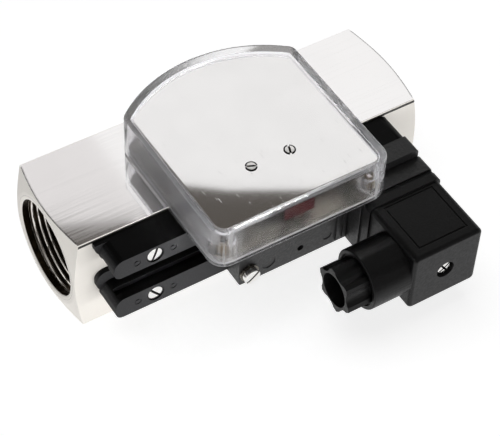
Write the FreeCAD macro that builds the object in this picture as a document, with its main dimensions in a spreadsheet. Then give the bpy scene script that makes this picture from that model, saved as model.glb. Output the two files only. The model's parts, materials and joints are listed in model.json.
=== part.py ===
# Spring-loaded variable area flow meter with a dial head and a sliding limit switch.
# Millimetres. The origin is the centre of the inlet mouth, +X runs with the flow, +Z is up,
# and the switch side faces -Y.
import FreeCAD, Part
import os
import re
import Sketcher

SIZES = {
    # Flow body: a square bar bored from end to end, with a threaded port at each end
    "block_length": 152,
    "block_side": 46,
    "edge_break": 0.4,
    "end_face_inset": 0.5,
    "end_cone_setback": 2.7,
    "port_radius": 20.955,
    "port_depth": 22,
    "shoulder_step": 1.5,
    "shoulder_width": 4,
    "bore_radius": 17,
    "outlet_run": 5,
    "tap_floor": 1,
    # Fits: radial gap of a pushed-in piece, of a turning or sliding one, and of a loose hole
    "slip_fit": 0.1,
    "running_fit": 0.08,
    "hole_clearance": 0.3,
    # Retaining ring at the outlet end of the bore
    "ring_thickness": 1.2,
    "ring_groove_depth": 0.9,
    "ring_inner_drop": 2.2,
    "ring_opening": 5,
    # Spiders that carry the guide rod
    "spider_length": 6,
    "spider_rim_wall": 2.4,
    "spider_hub_radius": 6.5,
    "spoke_width": 2.4,
    "rod_radius": 2,
    "rod_overhang": 0.6,
    "nut_across_flats": 7,
    "nut_height": 3,
    # Sleeve whose bore widens along the stroke of the float
    "sleeve_mouth_wall": 2.5,
    "sleeve_lead_in": 16,
    "throat_gap": 0.5,
    "throat_length": 4,
    "taper_overrun": 8,
    "sleeve_outlet_wall": 2.1,
    # Float with a ring magnet, at rest with the magnet under the middle of the dial
    "float_stroke": 22,
    "float_disc_radius": 11.1,
    "float_disc_thickness": 3.5,
    "float_disc_bevel": 2,
    "float_neck_length": 12,
    "magnet_wall": 1.5,
    "magnet_length": 9,
    "magnet_inner_radius": 3.8,
    "magnet_outer_radius": 7.4,
    "magnet_cap_thickness": 2,
    # Return spring behind the float
    "spring_mean_radius": 5,
    "spring_wire_radius": 0.6,
    "spring_turns": 5,
    # Rails on the switch side
    "rail_start": 10,
    "rail_length": 126.6,
    "rail_depth": 13,
    "rail_drop": 1.15,
    "upper_rail_height": 9.25,
    "rail_gap": 12.4,
    "lower_rail_height": 10.3,
    "rail_end_radius": 4,
    "rail_foot_radius": 3,
    "relief_length": 3,
    "relief_height": 3.5,
    "relief_front_wall": 4.6,
    "lip_height": 4.95,
    "lip_drop": 4.7,
    "upper_lip_drop": 5.85,
    "lip_depth": 2.2,
    "lip_overhang": 1.9,
    "lip_round": 4,
    "slot_depth": 2.1,
    "slot_width": 3.2,
    "slot_setback": 3,
    "slot_end_wall": 2,
    "rail_screw_inset": 16.7,
    "rail_head_radius": 3.25,
    "rail_head_height": 2.4,
    "rail_head_sink": 0.2,
    "rail_shank_radius": 1.75,
    "pin_mark_radius": 1.5,
    "pin_mark_line": 0.6,
    "pin_mark_depth": 0.3,
    "pin_mark_spread": 7.5,
    # Switch housing that slides along the rails
    "slide_gap": 0.15,
    "housing_short": 0.3,
    "housing_length": 78.9,
    "housing_depth": 8.45,
    "housing_drop": 0.6,
    "housing_round": 1.2,
    "tongue_length": 50,
    "rib_position": 35.8,
    "rib_width": 1.4,
    "rib_proud": 0.8,
    "rib_pitch": 3,
    "mark_hole_radius": 1.4,
    "mark_hole_depth": 5,
    "mark_hole_position": 27.3,
    "mark_disc_radius": 3,
    "mark_disc_position": 13,
    "mark_small_radius": 2,
    "mark_small_position": 39.4,
    # Reed switch in the tongue
    "reed_radius": 1.2,
    "reed_length": 14,
    "reed_lead_radius": 0.3,
    "reed_lead_length": 4,
    "reed_position": 34,
    # Clamp screw that locks the housing on the lower rail
    "clamp_inset": 4.2,
    "clamp_head_radius": 3.4,
    "clamp_head_height": 2.4,
    "clamp_shank_radius": 1.75,
    "clamp_washer_radius": 4,
    "clamp_washer_thickness": 0.9,
    # Connector base on the housing
    "socket_setback": 14.9,
    "socket_centre_drop": 18.6,
    "socket_width": 32,
    "socket_height": 30,
    "socket_depth": 7.8,
    "socket_round": 1.5,
    "blade_circle": 9,
    "blade_width": 6.3,
    "blade_thickness": 0.8,
    "blade_sink": 5,
    "blade_reach": 9,
    "gasket_thickness": 1.7,
    "gasket_wall": 2,
    # Angled connector plug
    "plug_width": 30.6,
    "plug_height": 28.5,
    "plug_depth": 28,
    "plug_round": 2.2,
    "plug_front_round": 1.5,
    "flange_depth": 3.9,
    "flange_proud": 0.8,
    "plug_wall": 2.6,
    "panel_inset": 4.3,
    "panel_front_inset": 4,
    "panel_back_inset": 1.2,
    "panel_line": 0.7,
    "panel_line_depth": 0.35,
    "terminal_depth": 13,
    "plug_recess_radius": 3.75,
    "plug_recess_depth": 3.1,
    "plug_screw_head_radius": 3,
    "plug_screw_head_height": 2.2,
    "plug_screw_radius": 1.5,
    "plug_screw_engagement": 5,
    # Cable gland at the plug's side
    "gland_ahead": 15.3,
    "barrel_radius": 12.2,
    "barrel_length": 16.1,
    "barrel_round": 0.6,
    "barrel_rebate_depth": 1.2,
    "barrel_bore_radius": 8.5,
    "barrel_bore_depth": 12,
    "cable_radius": 4,
    "gland_nut_length": 10.6,
    "gland_nut_gap": 0.3,
    "gland_nut_across_flats": 17.6,
    "gland_nut_mouth_radius": 7,
    "gland_spigot_length": 3.5,
    "gland_scallop_radius": 5,
    "gland_scallop_depth": 1,
    "gland_washer_thickness": 1,
    # Dial head on top: base, clear cover and plate share one outline about the pivot
    "pivot_ahead": 10.8,
    "dial_radius": 56.6,
    "dial_half_width": 37.3,
    "dial_front_reach": 24.6,
    "dial_front_corner": 7,
    "dial_back_corner": 4,
    "cover_height": 20,
    "cover_wall": 2.5,
    "cover_top": 2.2,
    "cover_top_round": 1.8,
    "cover_fit": 0.2,
    "base_thickness": 3,
    "base_screw_inset": 7.6,
    "base_screw_edge": 8,
    "base_screw_radius": 1.5,
    "base_screw_head_radius": 2.75,
    "base_screw_head_height": 1.8,
    "plate_thickness": 1,
    "plate_inset": 2.8,
    "plate_clearance": 1.4,
    "pillar_spread": 8.2,
    "pillar_radius": 2.5,
    "dial_screw_head_radius": 2.3,
    "dial_screw_head_height": 1,
    "dial_screw_radius": 1.2,
    "dial_screw_length": 6,
    "boss_inset": 6.4,
    "boss_overlap": 0.4,
    "boss_cap": 1,
    "insert_radius": 1.9,
    "insert_length": 6,
    "cover_screw_radius": 1.2,
    "cover_screw_head_radius": 2.3,
    "cover_screw_head_height": 1.4,
    "cover_screw_reach": 5,
    # Magnetic follower on the pivot pin
    "pivot_radius": 1.2,
    "pivot_collar_radius": 2.4,
    "follower_lift": 0.8,
    "follower_end_play": 0.3,
    "hub_radius": 3.8,
    "pin_headroom": 2.5,
    "arm_width": 4.4,
    "arm_thickness": 2.2,
    "follower_magnet_radius": 3.4,
    "follower_magnet_height": 4.4,
    "magnet_cup_wall": 1.3,
    "flag_setback": 2.7,
    "flag_width": 12.6,
    "flag_headroom": 1.4,
    "flag_thickness": 1.2,
    "flag_foot": 5,
    "clip_thickness": 0.7,
    "clip_radius": 2.8,
    "pin_end": 0.6,
    # Screw slots
    "slot_cut_width": 0.9,
    "slot_cut_depth": 0.8,
}

# Places worked out from the sizes
MIDDLE = "(block_length/2)"
BORE_SEAT = "(port_depth + shoulder_width)"
OUTLET_PORT = "(block_length - port_depth)"
RING_BACK = f"({OUTLET_PORT} - outlet_run)"
RING_FRONT = f"({RING_BACK} - ring_thickness)"
SLEEVE_START = f"({BORE_SEAT} + spider_length)"
SLEEVE_END = f"({RING_FRONT} - spider_length)"
FLOAT_END = f"({MIDDLE} + magnet_length/2 + magnet_cap_thickness)"
FLOAT_NECK = f"({MIDDLE} - magnet_length/2 - float_neck_length)"
FLOAT_NOSE = f"({FLOAT_NECK} - float_disc_thickness)"
THROAT_START = f"({FLOAT_NOSE} - throat_length/2)"
FRONT = "(block_side/2)"
TOP = "(block_side/2)"
TAP_DEPTH = "(block_side/2 - bore_radius - tap_floor)"
RAIL_END = "(rail_start + rail_length)"
RAIL_TOP = "(block_side/2 - rail_drop)"
UPPER_LOW = f"({RAIL_TOP} - upper_rail_height)"
LOWER_TOP = f"({UPPER_LOW} - rail_gap)"
LOWER_LOW = f"({LOWER_TOP} - lower_rail_height)"
UPPER_MIDDLE = f"({RAIL_TOP} - upper_rail_height/2)"
LOWER_MIDDLE = f"({LOWER_TOP} - lower_rail_height/2)"
GAP_MIDDLE = f"({UPPER_LOW} - (rail_gap - lip_height)/2)"
RAIL_SCREW_LEFT = "(rail_start + rail_screw_inset)"
RAIL_SCREW_RIGHT = f"({RAIL_END} - rail_screw_inset)"
HOUSING_RIGHT = f"({RAIL_END} - housing_short)"
HOUSING_LEFT = f"({HOUSING_RIGHT} - housing_length)"
HOUSING_LOW = f"({LOWER_LOW} - housing_drop)"
CLAMP_X = f"({HOUSING_LEFT} + clamp_inset)"
SOCKET_X = f"({HOUSING_RIGHT} - socket_setback)"
SOCKET_Z = f"({RAIL_TOP} - socket_centre_drop)"
# Distances in front of the tube axis, so the coordinate is their negative
RAIL_FRONT = f"({FRONT} + rail_depth)"
SLOT_FRONT = f"({RAIL_FRONT} - slot_setback)"
SLOT_BACK = f"({SLOT_FRONT} - slot_width)"
TONGUE_BACK = f"({FRONT} + lip_depth + slide_gap)"
REED_Y = f"({TONGUE_BACK} + reed_radius + 2*hole_clearance + slide_gap)"
HOUSING_BACK = f"({RAIL_FRONT} + slide_gap)"
HOUSING_FRONT = f"({HOUSING_BACK} + housing_depth)"
SOCKET_FRONT = f"({HOUSING_FRONT} + socket_depth)"
GASKET_FRONT = f"({SOCKET_FRONT} + gasket_thickness)"
FLANGE_FRONT = f"({GASKET_FRONT} + flange_depth)"
PLUG_FRONT = f"({FLANGE_FRONT} + plug_depth)"
GLAND_Y = f"({FLANGE_FRONT} + gland_ahead)"
PIVOT_Y = f"({FRONT} + pivot_ahead)"
BOSS_Y = f"({PIVOT_Y} + dial_front_reach - boss_inset)"
# The gland's face and the dial head's levels
GLAND_FACE = f"({SOCKET_X} - plug_width/2 - barrel_length)"
NUT_CORNER = "(gland_nut_across_flats/sqrt(3))"
BASE_TOP = f"({TOP} + base_thickness)"
COVER_CEILING = f"({TOP} + cover_height - cover_top)"
PLATE_TOP = f"({COVER_CEILING} - plate_clearance)"
PLATE_LOW = f"({PLATE_TOP} - plate_thickness)"
FOLLOWER_LOW = f"({BASE_TOP} + follower_lift)"
HUB_TOP = f"({PLATE_LOW} - pin_headroom - pin_end - clip_thickness - follower_end_play)"
TAIL_REACH = "(dial_front_reach - cover_wall - flag_setback)"
BASE_INSET = "(cover_wall + cover_fit)"
BOSS_SPREAD = "(dial_half_width - boss_inset)"

# Where each screw and the gland nut came to a stop, in degrees about their axes
RAIL_SCREW_STOPS = (69, -52, 30, 110)
CLAMP_SCREW_STOP = 38
PLUG_SCREW_STOP = 35
GLAND_NUT_STOP = 15
BASE_SCREW_STOPS = (40, 80, 120, 160)
DIAL_SCREW_STOPS = (-24, 71)
SPOKES = 3
HEXAGON_SIDES = 6

doc = FreeCAD.newDocument("FlowMeter")
sheet = doc.addObject("Spreadsheet::Sheet", "Sizes")
for row, (size_name, size) in enumerate(SIZES.items(), start=1):
    sheet.set(f"A{row}", size_name)
    sheet.set(f"B{row}", str(size))
    sheet.setAlias(f"B{row}", size_name)
doc.recompute()

X_AXIS = FreeCAD.Vector(1, 0, 0)
Y_AXIS = FreeCAD.Vector(0, 1, 0)
Z_AXIS = FreeCAD.Vector(0, 0, 1)
# Turns that take a piece modelled along +Z to face the front or the underside
FACING_FRONT = FreeCAD.Rotation(X_AXIS, 90)
FACING_UP = FreeCAD.Rotation()
FACING_DOWN = FreeCAD.Rotation(X_AXIS, 180)
TOLERANCE = 1e-6
pieces = []


def bound(formula):
    """The formula with each size's name pointing at its cell in the sheet."""
    def cell(match):
        word = match.group()
        return f"Sizes.{word}" if word in SIZES else word
    return re.sub(r"[a-z_]+", cell, formula)


def value(formula):
    return float(sheet.evalExpression(bound(formula)))


def new_body(label):
    body = doc.addObject("PartDesign::Body", label)
    body.Label = label
    return body


def keep(piece):
    """Count a finished object as a sub-part to be written."""
    pieces.append(piece)
    return piece


def move(body, x="0", y="0", z="0", turn=FACING_UP):
    body.Placement = FreeCAD.Placement(FreeCAD.Vector(), turn)
    for axis, formula in (("x", x), ("y", y), ("z", z)):
        body.setExpression(f"Placement.Base.{axis}", bound(formula))


def group(label, members):
    """Several alike solids as one sub-part."""
    compound = doc.addObject("Part::Compound", label)
    compound.Label = label
    compound.Links = members
    doc.recompute()
    return keep(compound)


def new_sketch(body, plane, lift="0"):
    """A sketch on one of the body's own planes, moved along that plane's normal by lift."""
    sketch = body.newObject("Sketcher::SketchObject", f"{body.Name}_outline")
    support = next(item for item in body.Origin.OriginFeatures if item.Role == plane)
    sketch.AttachmentSupport = [(support, "")]
    sketch.MapMode = "FlatFace"
    sketch.setExpression("AttachmentOffset.Base.z", bound(lift))
    return sketch


def hold(sketch, geometry, point, direction, formula):
    """Hold one coordinate of a sketch point at a formula of the sizes."""
    number = value(formula)
    if abs(number) < TOLERANCE:
        axis = -2 if direction == "X" else -1
        sketch.addConstraint(Sketcher.Constraint("PointOnObject", geometry, point, axis))
        return
    rule = Sketcher.Constraint(f"Distance{direction}", -1, 1, geometry, point, number)
    index = sketch.addConstraint(rule)
    sketch.setExpression(f"Constraints[{index}]", bound(formula))


def hold_radius(sketch, geometry, formula):
    index = sketch.addConstraint(Sketcher.Constraint("Radius", geometry, value(formula)))
    sketch.setExpression(f"Constraints[{index}]", bound(formula))


def polygon(sketch, corners):
    """A closed outline of straight lines through corners given as formulas."""
    spots = [FreeCAD.Vector(value(x), value(y), 0) for x, y in corners]
    first = sketch.GeometryCount
    for start, end in zip(spots, spots[1:] + spots[:1]):
        sketch.addGeometry(Part.LineSegment(start, end), False)
    for step, (x, y) in enumerate(corners):
        after = first + (step + 1) % len(corners)
        sketch.addConstraint(Sketcher.Constraint("Coincident", first + step, 2, after, 1))
        hold(sketch, first + step, 1, "X", x)
        hold(sketch, first + step, 1, "Y", y)


def rectangle(sketch, left, low, right, high):
    polygon(sketch, [(left, low), (right, low), (right, high), (left, high)])


def centred_rectangle(sketch, x, y, width, height):
    rectangle(sketch, f"{x} - {width}/2", f"{y} - {height}/2", f"{x} + {width}/2", f"{y} + {height}/2")


def circle(sketch, x, y, radius):
    centre = FreeCAD.Vector(value(x), value(y), 0)
    index = sketch.addGeometry(Part.Circle(centre, Z_AXIS, value(radius)), False)
    hold(sketch, index, 3, "X", x)
    hold(sketch, index, 3, "Y", y)
    hold_radius(sketch, index, radius)


def hexagon(sketch, across_flats, x="0", y="0"):
    """A hexagon about a point with its flats above and below."""
    high = f"{y} + {across_flats}/2"
    low = f"{y} - {across_flats}/2"
    corner = f"{across_flats}/sqrt(3)"
    polygon(sketch, [
        (f"{x} + {corner}", y), (f"{x} + {corner}/2", high), (f"{x} - {corner}/2", high),
        (f"{x} - {corner}", y), (f"{x} - {corner}/2", low), (f"{x} + {corner}/2", low),
    ])


def dial_outline(sketch, inset):
    """Straight front and sides closed by an arc about the pivot, all moved in by the inset."""
    half = f"(dial_half_width - {inset})"
    radius = f"(dial_radius - {inset})"
    left = f"{MIDDLE} - {half}"
    right = f"{MIDDLE} + {half}"
    front = f"-({PIVOT_Y} + dial_front_reach - {inset})"
    shoulder = f"sqrt({radius}*{radius} - {half}*{half}) - {PIVOT_Y}"
    corners = [(left, shoulder), (left, front), (right, front), (right, shoulder)]
    spots = [FreeCAD.Vector(value(x), value(y), 0) for x, y in corners]
    for start, end in zip(spots, spots[1:]):
        sketch.addGeometry(Part.LineSegment(start, end), False)
    crown = FreeCAD.Vector(value(MIDDLE), value(f"{radius} - {PIVOT_Y}"), 0)
    sketch.addGeometry(Part.Arc(spots[3], crown, spots[0]), False)
    for step in range(3):
        sketch.addConstraint(Sketcher.Constraint("Coincident", step, 2, step + 1, 1))
        hold(sketch, step, 1, "X", corners[step][0])
        hold(sketch, step, 1, "Y", corners[step][1])
    hold(sketch, 2, 2, "X", corners[3][0])
    hold(sketch, 2, 2, "Y", corners[3][1])
    sketch.addConstraint(Sketcher.Constraint("Coincident", 3, 2, 0, 1))
    hold_radius(sketch, 3, radius)


def pad(body, sketch, length, reverse=False):
    feature = body.newObject("PartDesign::Pad", f"{body.Name}_pad")
    feature.Profile = sketch
    feature.setExpression("Length", bound(length))
    feature.Reversed = reverse
    doc.recompute()
    return feature


def revolve(body, sketch, axis):
    feature = body.newObject("PartDesign::Revolution", f"{body.Name}_turn")
    feature.Profile = sketch
    feature.ReferenceAxis = (sketch, [axis])
    feature.Angle = 360
    doc.recompute()
    return feature


def finish_cut(body, feature, before):
    """Recompute a cut and refuse one that took nothing away."""
    doc.recompute()
    if feature.Shape.Volume > before - TOLERANCE:
        raise RuntimeError(f"{feature.Name} on {body.Label} cuts nothing")
    return feature


def pocket(body, sketch, length, reverse=False):
    before = body.Tip.Shape.Volume
    feature = body.newObject("PartDesign::Pocket", f"{body.Name}_pocket")
    feature.Profile = sketch
    feature.setExpression("Length", bound(length))
    feature.Reversed = reverse
    return finish_cut(body, feature, before)


def groove(body, sketch, axis):
    before = body.Tip.Shape.Volume
    feature = body.newObject("PartDesign::Groove", f"{body.Name}_groove")
    feature.Profile = sketch
    feature.ReferenceAxis = (sketch, [axis])
    feature.Angle = 360
    return finish_cut(body, feature, before)


def dress(body, kind, size_property, size, chosen):
    """A fillet or chamfer on the edges that a test picks out."""
    base = body.Tip
    edges = [f"Edge{i}" for i, edge in enumerate(base.Shape.Edges, start=1) if chosen(edge)]
    feature = body.newObject(kind, f"{body.Name}_edge")
    feature.Base = (base, edges)
    feature.setExpression(size_property, bound(size))
    doc.recompute()
    return feature


def fillet(body, radius, chosen):
    return dress(body, "PartDesign::Fillet", "Radius", radius, chosen)


def chamfer(body, size, chosen):
    return dress(body, "PartDesign::Chamfer", "Size", size, chosen)


def repeat_round(body, feature, sketch, count):
    """Copies of a feature spaced evenly about the sketch's normal."""
    pattern = body.newObject("PartDesign::PolarPattern", f"{body.Name}_pattern")
    pattern.Originals = [feature]
    pattern.Axis = (sketch, ["N_Axis"])
    pattern.Angle = 360
    pattern.Occurrences = count
    body.Tip = pattern
    doc.recompute()
    return pattern


def is_straight(edge):
    return edge.Curve.TypeId == "Part::GeomLine"


def along(edge, direction):
    """Whether an edge is a straight line along a direction."""
    if not is_straight(edge):
        return False
    return abs(abs(edge.tangentAt(edge.FirstParameter).dot(direction)) - 1) < TOLERANCE


def at_level(edge, axis, formula):
    """Whether the whole edge lies in one plane square to a named axis."""
    low = getattr(edge.BoundBox, f"{axis}Min")
    high = getattr(edge.BoundBox, f"{axis}Max")
    level = value(formula)
    return abs(low - level) < 1e-4 and abs(high - level) < 1e-4


def ring(label, start, end, inner, outer):
    """A turned ring along X."""
    body = new_body(label)
    section = new_sketch(body, "XZ_Plane")
    rectangle(section, start, inner, end, outer)
    revolve(body, section, "H_Axis")
    return body


def slotted_screw(label, head_radius, head_height, shank_radius, length, cross=False):
    """A screw along local Z whose head stands on the plane z = 0."""
    body = new_body(label)
    section = new_sketch(body, "XZ_Plane")
    polygon(section, [
        ("0", f"-({length})"), (shank_radius, f"-({length})"), (shank_radius, "0"),
        (head_radius, "0"), (head_radius, head_height), ("0", head_height),
    ])
    revolve(body, section, "V_Axis")
    slot = new_sketch(body, "XY_Plane", head_height)
    centred_rectangle(slot, "0", "0", f"3*{head_radius}", "slot_cut_width")
    pocket(body, slot, "slot_cut_depth")
    if cross:
        crossing = new_sketch(body, "XY_Plane", head_height)
        centred_rectangle(crossing, "0", "0", "slot_cut_width", f"3*{head_radius}/2")
        pocket(body, crossing, "slot_cut_depth")
    return body


def make_flow_body():
    body = new_body("flow_body")
    square = new_sketch(body, "YZ_Plane")
    centred_rectangle(square, "0", "0", "block_side", "block_side")
    pad(body, square, "block_length")
    chamfer(body, "edge_break", lambda edge: along(edge, X_AXIS))
    # Both ends are faced in a lathe, which cuts the corners of the square back to a cone
    cones = new_sketch(body, "XZ_Plane")
    face = "block_side/2 - end_face_inset"
    outside = "block_side"
    corner_cut = "(block_side*(sqrt(2) - 1)/2 + end_face_inset)"
    setback = f"(end_cone_setback*(block_side/2 + end_face_inset)/{corner_cut})"
    polygon(cones, [("0", face), ("0", outside), (setback, outside)])
    far = "block_length"
    polygon(cones, [(far, face), (far, outside), (f"{far} - {setback}", outside)])
    groove(body, cones, "H_Axis")
    # The bore: port, shoulder, stepped bore with a ring groove, port
    bore = new_sketch(body, "XZ_Plane")
    shoulder = "bore_radius - shoulder_step"
    ring_floor = "bore_radius + ring_groove_depth"
    polygon(bore, [
        ("0", "0"), ("0", "port_radius"), ("port_depth", "port_radius"),
        ("port_depth", shoulder), (BORE_SEAT, shoulder), (BORE_SEAT, "bore_radius"),
        (RING_FRONT, "bore_radius"), (RING_FRONT, ring_floor),
        (f"{RING_BACK} + slip_fit", ring_floor), (f"{RING_BACK} + slip_fit", "bore_radius"),
        (OUTLET_PORT, "bore_radius"), (OUTLET_PORT, "port_radius"),
        ("block_length", "port_radius"), ("block_length", "0"),
    ])
    groove(body, bore, "H_Axis")
    rail_taps = new_sketch(body, "XZ_Plane", FRONT)
    for x in (RAIL_SCREW_LEFT, RAIL_SCREW_RIGHT):
        for z in (UPPER_MIDDLE, LOWER_MIDDLE):
            circle(rail_taps, x, z, "rail_shank_radius + slip_fit")
    pocket(body, rail_taps, TAP_DEPTH)
    base_taps = new_sketch(body, "XY_Plane", TOP)
    for x, y in base_screw_places():
        circle(base_taps, x, y, "base_screw_radius + slip_fit")
    pocket(body, base_taps, TAP_DEPTH)
    return keep(body)


def base_screw_places():
    """Two screws near the bar's front edge and two where the base's arc still covers them."""
    spread = f"(dial_half_width - {BASE_INSET} - base_screw_inset)"
    arc = f"(dial_radius - {BASE_INSET})"
    front = f"-({FRONT} - base_screw_edge)"
    back = f"sqrt({arc}*{arc} - {spread}*{spread}) - {PIVOT_Y} - base_screw_inset"
    return [(f"{MIDDLE} {side} {spread}", y) for side in ("-", "+") for y in (front, back)]


def make_spider(label, start):
    """Rim, hub and three spokes that hold one end of the guide rod."""
    body = new_body(label)
    rim = new_sketch(body, "YZ_Plane", start)
    circle(rim, "0", "0", "bore_radius - slip_fit")
    circle(rim, "0", "0", "bore_radius - slip_fit - spider_rim_wall")
    pad(body, rim, "spider_length")
    spoke = new_sketch(body, "YZ_Plane", start)
    reach = "bore_radius - slip_fit - spider_rim_wall/2"
    rectangle(spoke, "-spoke_width/2", "spider_hub_radius/2", "spoke_width/2", reach)
    arm = pad(body, spoke, "spider_length")
    repeat_round(body, arm, spoke, SPOKES)
    hub = new_sketch(body, "YZ_Plane", start)
    circle(hub, "0", "0", "spider_hub_radius")
    pad(body, hub, "spider_length")
    hole = new_sketch(body, "YZ_Plane", start)
    circle(hole, "0", "0", "rod_radius + slip_fit")
    pocket(body, hole, "spider_length", reverse=True)
    return keep(body)


def make_taper_sleeve():
    body = new_body("taper_sleeve")
    section = new_sketch(body, "XZ_Plane")
    outer = "bore_radius - slip_fit"
    mouth = f"{outer} - sleeve_mouth_wall"
    throat = "float_disc_radius + throat_gap"
    outlet = f"{outer} - sleeve_outlet_wall"
    lead_in = f"{THROAT_START} - sleeve_lead_in"
    throat_end = f"{THROAT_START} + throat_length"
    taper_end = f"{throat_end} + float_stroke + taper_overrun"
    polygon(section, [
        (SLEEVE_START, mouth), (lead_in, mouth), (THROAT_START, throat), (throat_end, throat),
        (taper_end, outlet), (SLEEVE_END, outlet),
        (SLEEVE_END, outer), (SLEEVE_START, outer),
    ])
    revolve(body, section, "H_Axis")
    return keep(body)


def make_guide_rod():
    body = new_body("guide_rod")
    end = new_sketch(body, "YZ_Plane", f"{BORE_SEAT} - nut_height - rod_overhang")
    circle(end, "0", "0", "rod_radius")
    pad(body, end, f"{RING_FRONT} - {BORE_SEAT} + 2*nut_height + 2*rod_overhang")
    chamfer(body, "rod_radius/4", lambda edge: not is_straight(edge))
    return keep(body)


def make_rod_nuts():
    nuts = []
    for label, start in (("inlet_nut", f"{BORE_SEAT} - nut_height"), ("outlet_nut", RING_FRONT)):
        body = new_body(label)
        outline = new_sketch(body, "YZ_Plane", start)
        hexagon(outline, "nut_across_flats")
        circle(outline, "0", "0", "rod_radius + slip_fit")
        pad(body, outline, "nut_height")
        nuts.append(body)
    return group("rod_nuts", nuts)


def make_retaining_ring():
    """A snap ring with its ends apart at the bottom."""
    body = new_body("retaining_ring")
    outline = new_sketch(body, "YZ_Plane", RING_FRONT)
    circle(outline, "0", "0", "bore_radius + ring_groove_depth - slip_fit")
    circle(outline, "0", "0", "bore_radius - ring_inner_drop")
    pad(body, outline, "ring_thickness")
    opening = new_sketch(body, "YZ_Plane", RING_FRONT)
    rectangle(opening, "-ring_opening/2", "-2*bore_radius", "ring_opening/2", "0")
    pocket(body, opening, "ring_thickness", reverse=True)
    return keep(body)


def make_float():
    """Bevelled metering disc, neck and barrel with a ring pocket for the magnet."""
    body = new_body("float")
    section = new_sketch(body, "XZ_Plane")
    running = "rod_radius + running_fit"
    pocket_floor = f"{MIDDLE} - magnet_length/2"
    pocket_outer = "magnet_outer_radius + slip_fit"
    pocket_inner = "magnet_inner_radius - slip_fit"
    barrel = f"{pocket_outer} + magnet_wall"
    polygon(section, [
        (FLOAT_NOSE, running), (FLOAT_NOSE, "float_disc_radius - float_disc_bevel"),
        (f"{FLOAT_NECK} - float_disc_thickness/3", "float_disc_radius"), (FLOAT_NECK, "float_disc_radius"),
        (f"{FLOAT_NECK} + float_disc_bevel", barrel), (FLOAT_END, barrel),
        (FLOAT_END, pocket_outer), (pocket_floor, pocket_outer),
        (pocket_floor, pocket_inner), (FLOAT_END, pocket_inner), (FLOAT_END, running),
    ])
    revolve(body, section, "H_Axis")
    return keep(body)


def make_return_spring():
    """Wire wound between the float and the hub of the outlet spider, with a six-sided section."""
    body = new_body("return_spring")
    wire = new_sketch(body, "XZ_Plane")
    start = f"({FLOAT_END} + spring_wire_radius + 2*slip_fit)"
    hexagon(wire, "2*spring_wire_radius", start, "spring_mean_radius")
    coil = body.newObject("PartDesign::AdditiveHelix", "return_spring_coil")
    coil.Profile = wire
    coil.ReferenceAxis = (wire, ["H_Axis"])
    coil.Mode = "height-turns-angle"
    coil.setExpression("Turns", bound("spring_turns"))
    coil.setExpression("Height", bound(f"{SLEEVE_END} - {FLOAT_END} - 2*spring_wire_radius - 4*slip_fit"))
    doc.recompute()
    return keep(body)


def make_rail(label, low, high, lip_low, lip_high, lip_right, slot_edge, inwards, relieved=False):
    """A moulded rail with round ends, a lip behind, a guide slot facing the other rail and screw seats."""
    body = new_body(label)
    lip_left = "rail_start - lip_overhang"
    lip = new_sketch(body, "XZ_Plane", FRONT)
    rectangle(lip, lip_left, lip_low, lip_right, lip_high)
    pad(body, lip, "lip_depth")

    def lip_corner(edge):
        below_top = edge.CenterOfMass.z < value(RAIL_TOP) - TOLERANCE
        return along(edge, Y_AXIS) and at_level(edge, "X", lip_left) and below_top

    def bar_end(edge):
        return along(edge, Y_AXIS) and (at_level(edge, "X", "rail_start") or at_level(edge, "X", RAIL_END))
    fillet(body, "lip_round", lip_corner)
    face = new_sketch(body, "XZ_Plane", FRONT)
    rectangle(face, "rail_start", low, RAIL_END, high)
    pad(body, face, "rail_depth")
    fillet(body, "rail_end_radius", lambda edge: bar_end(edge) and at_level(edge, "Z", high))
    fillet(body, "rail_foot_radius", lambda edge: bar_end(edge) and at_level(edge, "Z", low))
    slot = new_sketch(body, "YZ_Plane", "rail_start + slot_end_wall")
    rectangle(slot, f"-{SLOT_FRONT}", slot_edge, f"-{SLOT_BACK}", f"{slot_edge} {inwards} slot_depth")
    pocket(body, slot, "rail_length - slot_end_wall", reverse=True)
    if relieved:
        # The ends are cut back behind the front wall
        relief = new_sketch(body, "XZ_Plane", f"{FRONT} + lip_depth")
        for left in ("rail_start", f"{RAIL_END} - relief_length"):
            right = f"{left} + relief_length"
            rectangle(relief, left, slot_edge, right, f"{slot_edge} {inwards} relief_height")
        pocket(body, relief, "rail_depth - lip_depth - relief_front_wall", reverse=True)
    middle = f"({low} + {high})/2"
    seats = new_sketch(body, "XZ_Plane", RAIL_FRONT)
    holes = new_sketch(body, "XZ_Plane", RAIL_FRONT)
    marks = new_sketch(body, "XZ_Plane", RAIL_FRONT)
    for x in (RAIL_SCREW_LEFT, RAIL_SCREW_RIGHT):
        circle(seats, x, middle, "rail_head_radius + hole_clearance")
        circle(holes, x, middle, "rail_shank_radius + hole_clearance")
        for side in ("-", "+"):
            circle(marks, f"{x} {side} pin_mark_spread", middle, "pin_mark_radius")
            circle(marks, f"{x} {side} pin_mark_spread", middle, "pin_mark_radius - pin_mark_line")
    pocket(body, seats, "rail_head_height + rail_head_sink")
    pocket(body, holes, "rail_depth")
    pocket(body, marks, "pin_mark_depth")
    return keep(body)


def make_rail_screws():
    """Four slotted screws, each stopped with its slot at another angle."""
    places = [(x, z) for x in (RAIL_SCREW_LEFT, RAIL_SCREW_RIGHT) for z in (UPPER_MIDDLE, LOWER_MIDDLE)]
    length = f"rail_depth - rail_head_height - rail_head_sink + {TAP_DEPTH} - 2*slip_fit"
    screws = []
    for number, (x, z) in enumerate(places, start=1):
        screw = slotted_screw(
            f"rail_screw_{number}", "rail_head_radius", "rail_head_height", "rail_shank_radius", length)
        turn = FACING_FRONT * FreeCAD.Rotation(Z_AXIS, RAIL_SCREW_STOPS[number - 1])
        move(screw, x, f"-({RAIL_FRONT} - rail_head_height - rail_head_sink)", z, turn)
        screws.append(screw)
    return group("rail_screws", screws)


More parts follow.
